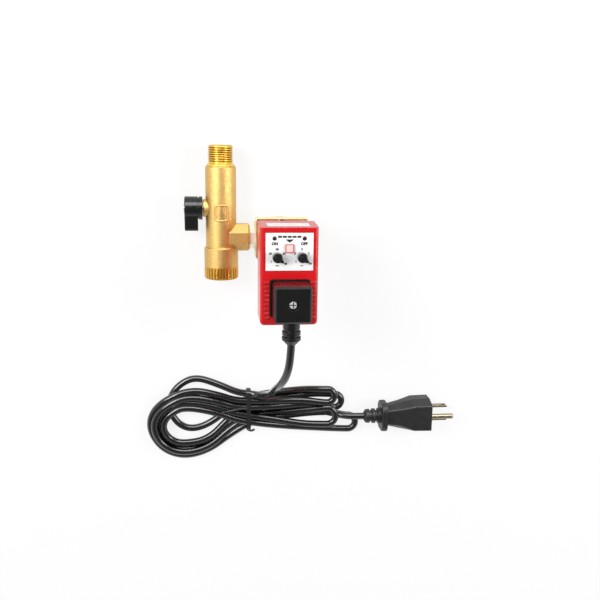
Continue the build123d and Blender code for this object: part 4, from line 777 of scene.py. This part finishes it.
# ------------------------------------------------------------------ strainer with ball valve
@dataclass
class Strainer:
    """The brass casting with its inlet nipple, cap, ball valve and screen.

    Attributes:
        thread_radius: over the crests of the inlet thread.
        thread_pitch: from crest to crest.
        thread_depth: from crest to root.
        neck: from the body's end to the thread's start.
        collar_radius: of the chamfered collar between them.
        bore: radius of the water's way through the nipple.
        barrel_radius: of the body's barrel, which frame and arrow lie on.
        mark_x: how far frame and arrow stand to the right of the barrel's axis.
        frame_width: of the raised frame cast on the front.
        frame_height: of that frame.
        frame_y: where the frame's middle lies along the barrel.
        bead: half the width of the frame's bead, which is also how far it stands proud.
    """

    thread_radius: float = 10.478 * MM
    thread_pitch: float = 1.814 * MM
    thread_depth: float = 0.95 * MM
    neck: float = 2.9 * MM
    collar_radius: float = 12.2 * MM
    bore: float = 6.0 * MM
    barrel_radius: float = 12.9 * MM
    mark_x: float = 0.35 * MM
    frame_width: float = 10.5 * MM
    frame_height: float = 13.0 * MM
    frame_y: float = 18.6 * MM
    bead: float = 0.8 * MM

    def inlet_thread(self) -> None:
        """The nipple as a ring-shaped surface round Y, with a chamfered collar at the body.

        Its radius along the thread is the crest's, less the depth times the square of a
        cosine hump of (y over the pitch, less the angle over a full turn, plus a quarter),
        faded out at both ends.
        """
        low, high = (np.array(corner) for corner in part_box("inlet_nipple"))
        middle = (low + high) / 2
        crest, bore, end = self.thread_radius, self.bore, high[1]
        body_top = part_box("strainer_body")[1][1]
        start = body_top + self.neck
        steps = np.linspace(start, end - 1.2 * MM, 75)
        collar = self.collar_radius
        y = np.concatenate([[low[1], low[1], body_top - 8 * MM, body_top - 1.2 * MM,
                             body_top + 0.02 * MM, body_top + 0.5 * MM, start - 0.8 * MM,
                             start - 0.5 * MM], steps, [end, end, end - 1.0 * MM]])
        radius = np.concatenate([[bore, bore + 2 * MM, bore + 2 * MM, crest - 2 * MM,
                                  collar, collar, crest, crest - 0.7 * MM],
                                 np.full(len(steps), crest),
                                 [crest - 1.2 * MM, bore + 1.0 * MM, bore]])
        turn = np.linspace(0, 2 * math.pi, 120, endpoint=False)
        along, around = np.meshgrid(y, turn, indexing="ij")
        hump = 0.5 - 0.5 * np.cos(2 * math.pi * (along / self.thread_pitch
                                                 - around / (2 * math.pi) + 0.25))
        fade = (np.clip((along - start) / (0.8 * MM), 0, 1)
                * np.clip((end - 1.0 * MM - along) / (0.6 * MM), 0, 1))
        r = radius[:, None] - self.thread_depth * hump ** 2 * fade
        points = np.stack([middle[0] + r * np.cos(around), along,
                           middle[2] + r * np.sin(around)], axis=-1)
        rows, columns = points.shape[:2]
        piece = new_piece("inlet_thread_ridges", points, grid_faces(rows, columns, True, True),
                          THREAD_BRASS, "valve")
        # painted shade: the thread's roots darken toward the groove colour
        paint_groove_shade(piece, hump * fade)
        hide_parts("inlet_nipple")

    def barrel_axis(self) -> tuple[float, float]:
        """X and Z of the barrel's axis, which is also the nipple's."""
        low, high = (np.array(corner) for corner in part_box("inlet_nipple"))
        return (low[0] + high[0]) / 2, (low[2] + high[2]) / 2

    def cast_frame(self) -> None:
        """The raised frame cast on the front: a rounded bead carried round a rounded square.

        The square's edge is a superellipse of power 7, and each point is dropped onto the
        body's cylinder.
        """
        axis_x, axis_z = self.barrel_axis()
        around, across = 144, 10
        angle = np.linspace(0, 2 * math.pi, around, endpoint=False)[:, None]
        section = np.linspace(0, 2 * math.pi, across, endpoint=False)[None, :]
        power = 2 / 7
        unit_x = np.sign(np.cos(angle)) * np.abs(np.cos(angle)) ** power
        unit_y = np.sign(np.sin(angle)) * np.abs(np.sin(angle)) ** power
        swell = self.bead * np.cos(section)
        x = self.mark_x + unit_x * (self.frame_width / 2 + swell)
        y = self.frame_y + unit_y * (self.frame_height / 2 + swell)
        z = axis_z + np.sqrt(self.barrel_radius ** 2 - x ** 2) + self.bead * np.sin(section)
        points = np.stack([axis_x + x, y, z], axis=-1)
        piece = new_piece("cast_frame", points, grid_faces(around, across, True, True),
                          CAST_RELIEF, "valve")
        # painted shade: darkest along the bead's lower side and foot, where it meets the body
        foot_shade = np.clip(1.1 - 1.6 * np.sin(section), 0, 1)
        paint_groove_shade(piece, np.repeat(foot_shade, around, axis=0))

    def flow_arrow(self) -> None:
        """A generic arrow in the frame, pointing the way the water runs, on the cylinder."""
        axis_x, axis_z = self.barrel_axis()
        outline = np.array([(-0.8, 4.2), (-0.8, -0.6), (-2.6, -0.6), (0.0, -4.4), (2.6, -0.6),
                            (0.8, -0.6), (0.8, 4.2)]) * MM
        x = outline[:, 0] + self.mark_x
        top = axis_z + np.sqrt(self.barrel_radius ** 2 - x ** 2)
        points = np.concatenate([np.column_stack([axis_x + x, self.frame_y + outline[:, 1], z])
                                 for z in (top - 0.3 * MM, top + 0.55 * MM)])
        count = len(outline)
        piece = new_piece("flow_arrow", points, closed_stack(2, count), CAST_RELIEF, "valve",
                          smooth=False)
        # painted shade: dark at the arrow's foot, fading up its sides to a little shade on top
        paint_groove_shade(piece, np.repeat([1.0, 0.15], count))

    def build(self) -> None:
        """Dress the casting and what it holds, and add thread, frame and arrow."""
        dress(CAST_BRASS, "strainer_body")
        dress(MILLED_BRASS, "strainer_cap")
        dress(TURNED_BRASS, "ball_stem")
        dress(BALL_BRASS, "valve_ball")
        dress(LEVER_NYLON, "lever_handle")
        dress(ZINC_STEEL, "lever_screw")
        dress(WIRE_CLOTH, "strainer_screen")
        dress(NITRILE, "stem_rings", "cap_ring")
        dress(WHITE_NYLON, "ball_seats")
        self.inlet_thread()
        self.cast_frame()
        self.flow_arrow()


# ------------------------------------------------------------------ solenoid valve and coil
@dataclass
class SolenoidValve:
    """The brass valve beside the strainer, its armature and its coil."""

    def build(self) -> None:
        """Dress its nodes."""
        dress(NICKEL, "hex_nipple")
        dress(DIPPED_BRASS, "valve_body", "bonnet_plate")
        dress(STAINLESS, "guide_tube", "fixed_core", "plunger")
        dress(ZINC_STEEL, "bonnet_screws", "coil_washer", "coil_nut", "coil_yoke",
              "plunger_spring")
        dress(COPPER_WIRE, "coil_winding")
        dress(WHITE_NYLON, "coil_bobbin")
        dress(NITRILE, "tube_ring", "plunger_seal")


# ------------------------------------------------------------------ timer housing
@dataclass
class Timer:
    """The red housing with its panel, knobs, lamps and button.

    Attributes:
        ink: thickness of the printing.
        figure_height: height of the numbers on the dials.
        figure_radius: from a knob's axis to its numbers.
        beak_clearance: how much farther out the last number stands, clear of the beak.
        unit_height: height of the unit's letters.
        unit_drop: from a knob's axis down to its unit.
        first_angle: where the first number stands, in degrees from +X.
        sweep: from the first number to the last, clockwise, in degrees.
    """

    ink: float = 0.05 * MM
    figure_height: float = 1.5 * MM
    figure_radius: float = 5.9 * MM
    beak_clearance: float = 2.4 * MM
    unit_height: float = 1.3 * MM
    unit_drop: float = 6.6 * MM
    first_angle: float = 219.0
    sweep: float = 258.0

    def dial(self, shaft: str, figures: tuple[str, ...], unit: str) -> list[Surface]:
        """Plain numbers round one knob, and their unit below.

        Args:
            shaft: the node that the knob turns on.
            figures: the numbers, clockwise from the lower left.
            unit: what they count.

        Returns:
            Pairs of vertices and faces.
        """
        low, high = (np.array(corner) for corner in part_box(shaft))
        x, y = (low[:2] + high[:2]) / 2
        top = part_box("panel_label")[1][2]
        parts = [lettering(unit, self.unit_height, x, y - self.unit_drop, top - self.ink,
                           top + self.ink, weight=0.05)]
        for number, text in enumerate(figures):
            angle = math.radians(self.first_angle - self.sweep * number / (len(figures) - 1))
            last = number == len(figures) - 1
            out = self.figure_radius + last * self.beak_clearance
            parts.append(lettering(text, self.figure_height, x + out * math.cos(angle),
                                   y + out * math.sin(angle), top - self.ink, top + self.ink))
        return parts

    def panel_print(self) -> None:
        """Black marks on the panel: two dials, a rule, and plain signs for lamps and button."""
        low, high = (np.array(corner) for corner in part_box("panel_label"))
        top, middle = high[2], (low[0] + high[0]) / 2
        bottom, ink = top - self.ink, top + self.ink
        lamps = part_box("panel_lamps")
        parts = self.dial("interval_shaft", ("1", "10", "20", "30", "45"), "min")
        parts += self.dial("discharge_shaft", ("1", "3", "5", "7", "10"), "sec")
        square = SQUARE * MM / 2
        lamp_y = (lamps[0][1] + lamps[1][1]) / 2
        bar_size, bar_spacing = (3.0, 1.5), 3.7 * MM
        for number in range(-2, 3):
            place = np.array([middle + number * bar_spacing, lamp_y + 1.3 * MM])
            parts.append(slab(place + square * bar_size, bottom, ink))
        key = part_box("test_button")
        sign = np.array([(key[0][0] + key[1][0]) / 2, key[1][1] + 0.6 * MM])
        parts.append(slab(sign + np.array([(0.0, 0.0), (3.3, 2.5), (-3.3, 2.5)]) * MM,
                          bottom, ink))
        for side, text in ((-1, "ON"), (1, "OFF")):
            parts.append(lettering(text, 2.0 * MM, middle + side * 11.3 * MM,
                                   lamp_y - 4.1 * MM, bottom, ink))
        points, faces = join_surfaces(parts)
        new_piece("panel_print", points, faces, LABEL_INK, "valve", smooth=False)

    def button_outline(self) -> None:
        """A red printed line round the top of the button: a square ring of ink."""
        low, high = (np.array(corner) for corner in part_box("test_button"))
        middle, top = (low[:2] + high[:2]) / 2, high[2]
        half = min(high[0] - low[0], high[1] - low[1]) / 2
        inner, outer = half - 1.15 * MM, half - 0.45 * MM
        ring = [(inner, top - self.ink), (outer, top - self.ink), (outer, top + self.ink),
                (inner, top + self.ink)]
        points = np.array([[(*(middle + c * out), z) for out, z in ring] for c in SQUARE])
        new_piece("button_outline", points, grid_faces(4, 4, True, True), RED_INK, "test_key",
                  smooth=False)

    def sticker(self) -> None:
        """A blank white sticker on the housing's sloping top side."""
        low, high = (np.array(corner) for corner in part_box("front_housing"))
        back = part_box("rear_housing")[1][1]
        middle = (low[0] + high[0]) / 2
        slope = 2.0 / 30.0
        z = np.array([low[2] + 2.5 * MM, low[2] + 15.5 * MM])
        y = back - slope * (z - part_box("rear_housing")[0][2] - 29.4 * MM)
        half = 16.5 * MM
        rows = []
        for lift in (-0.05 * MM, 0.12 * MM):
            rows.append([(middle - half, y[0] + lift, z[0]), (middle + half, y[0] + lift, z[0]),
                         (middle + half, y[1] + lift, z[1]), (middle - half, y[1] + lift, z[1])])
        new_piece("blank_sticker", np.array(rows), closed_stack(2, 4), LABEL_FILM, "valve",
                  smooth=False)

    def build(self) -> None:
        """Dress the housing and what it holds, and add print and sticker."""
        dress(RED_ABS, "front_housing", "rear_housing")
        dress(LABEL_FILM, "panel_label")
        dress(KNOB_PHENOLIC, "interval_knob", "discharge_knob")
        dress(LAMP_RED, "panel_lamps")
        dress(BUTTON_ABS, "test_button")
        dress(PART_PLASTIC, "board_components", "test_switch")
        dress(POT_PLASTIC, "potentiometers", "interval_shaft", "discharge_shaft")
        dress(SOLDER_MASK, "circuit_board")
        dress(ZINC_STEEL, "housing_screws")
        self.panel_print()
        self.button_outline()
        self.sticker()


# ------------------------------------------------------------------ connector
@dataclass
class Connector:
    """The square valve connector on the panel.

    Attributes:
        recess_floor: from the top of the screw's head down to its cross recess.
        arm_long: length of the cross.
        arm_wide: width of its arms.
    """

    recess_floor: float = 1.5 * MM
    arm_long: float = 4.8 * MM
    arm_wide: float = 1.1 * MM

    def painted_recess_shade(self) -> None:
        """Painted shade in the screw's cross recess: two thin dark crossed plates at its floor."""
        low, high = (np.array(corner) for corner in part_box("connector_screw"))
        middle, floor = (low[:2] + high[:2]) / 2, high[2] - self.recess_floor
        arm = SQUARE / 2
        parts = [slab(middle + arm * size, floor - 0.05 * MM, floor + thick)
                 for size, thick in (((self.arm_long, self.arm_wide), 0.20 * MM),
                                     ((self.arm_wide, self.arm_long), 0.21 * MM))]
        points, faces = join_surfaces(parts)
        new_piece("painted_recess_shade", points, faces, PART_PLASTIC, "valve", smooth=False)

    def build(self) -> None:
        """Dress its nodes."""
        dress(CONNECTOR_NYLON, "connector_shell", "connector_base", "terminal_block")
        dress(NITRILE, "connector_gasket")
        dress(SCREW_ZINC, "connector_screw")
        # painted shade: dark plates in the screw's cross recess
        self.painted_recess_shade()
        dress(CONTACT_BRASS, "connector_pins", "pin_sockets")


def main() -> None:
    """Build every sub-assembly in order."""
    logging.basicConfig(level=logging.INFO, format="%(message)s")
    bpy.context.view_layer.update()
    for assembly in (Studio(), MainsCord(), Strainer(), SolenoidValve(), Timer(), Connector()):
        assembly.build()


if __name__ == "__main__":
    main()
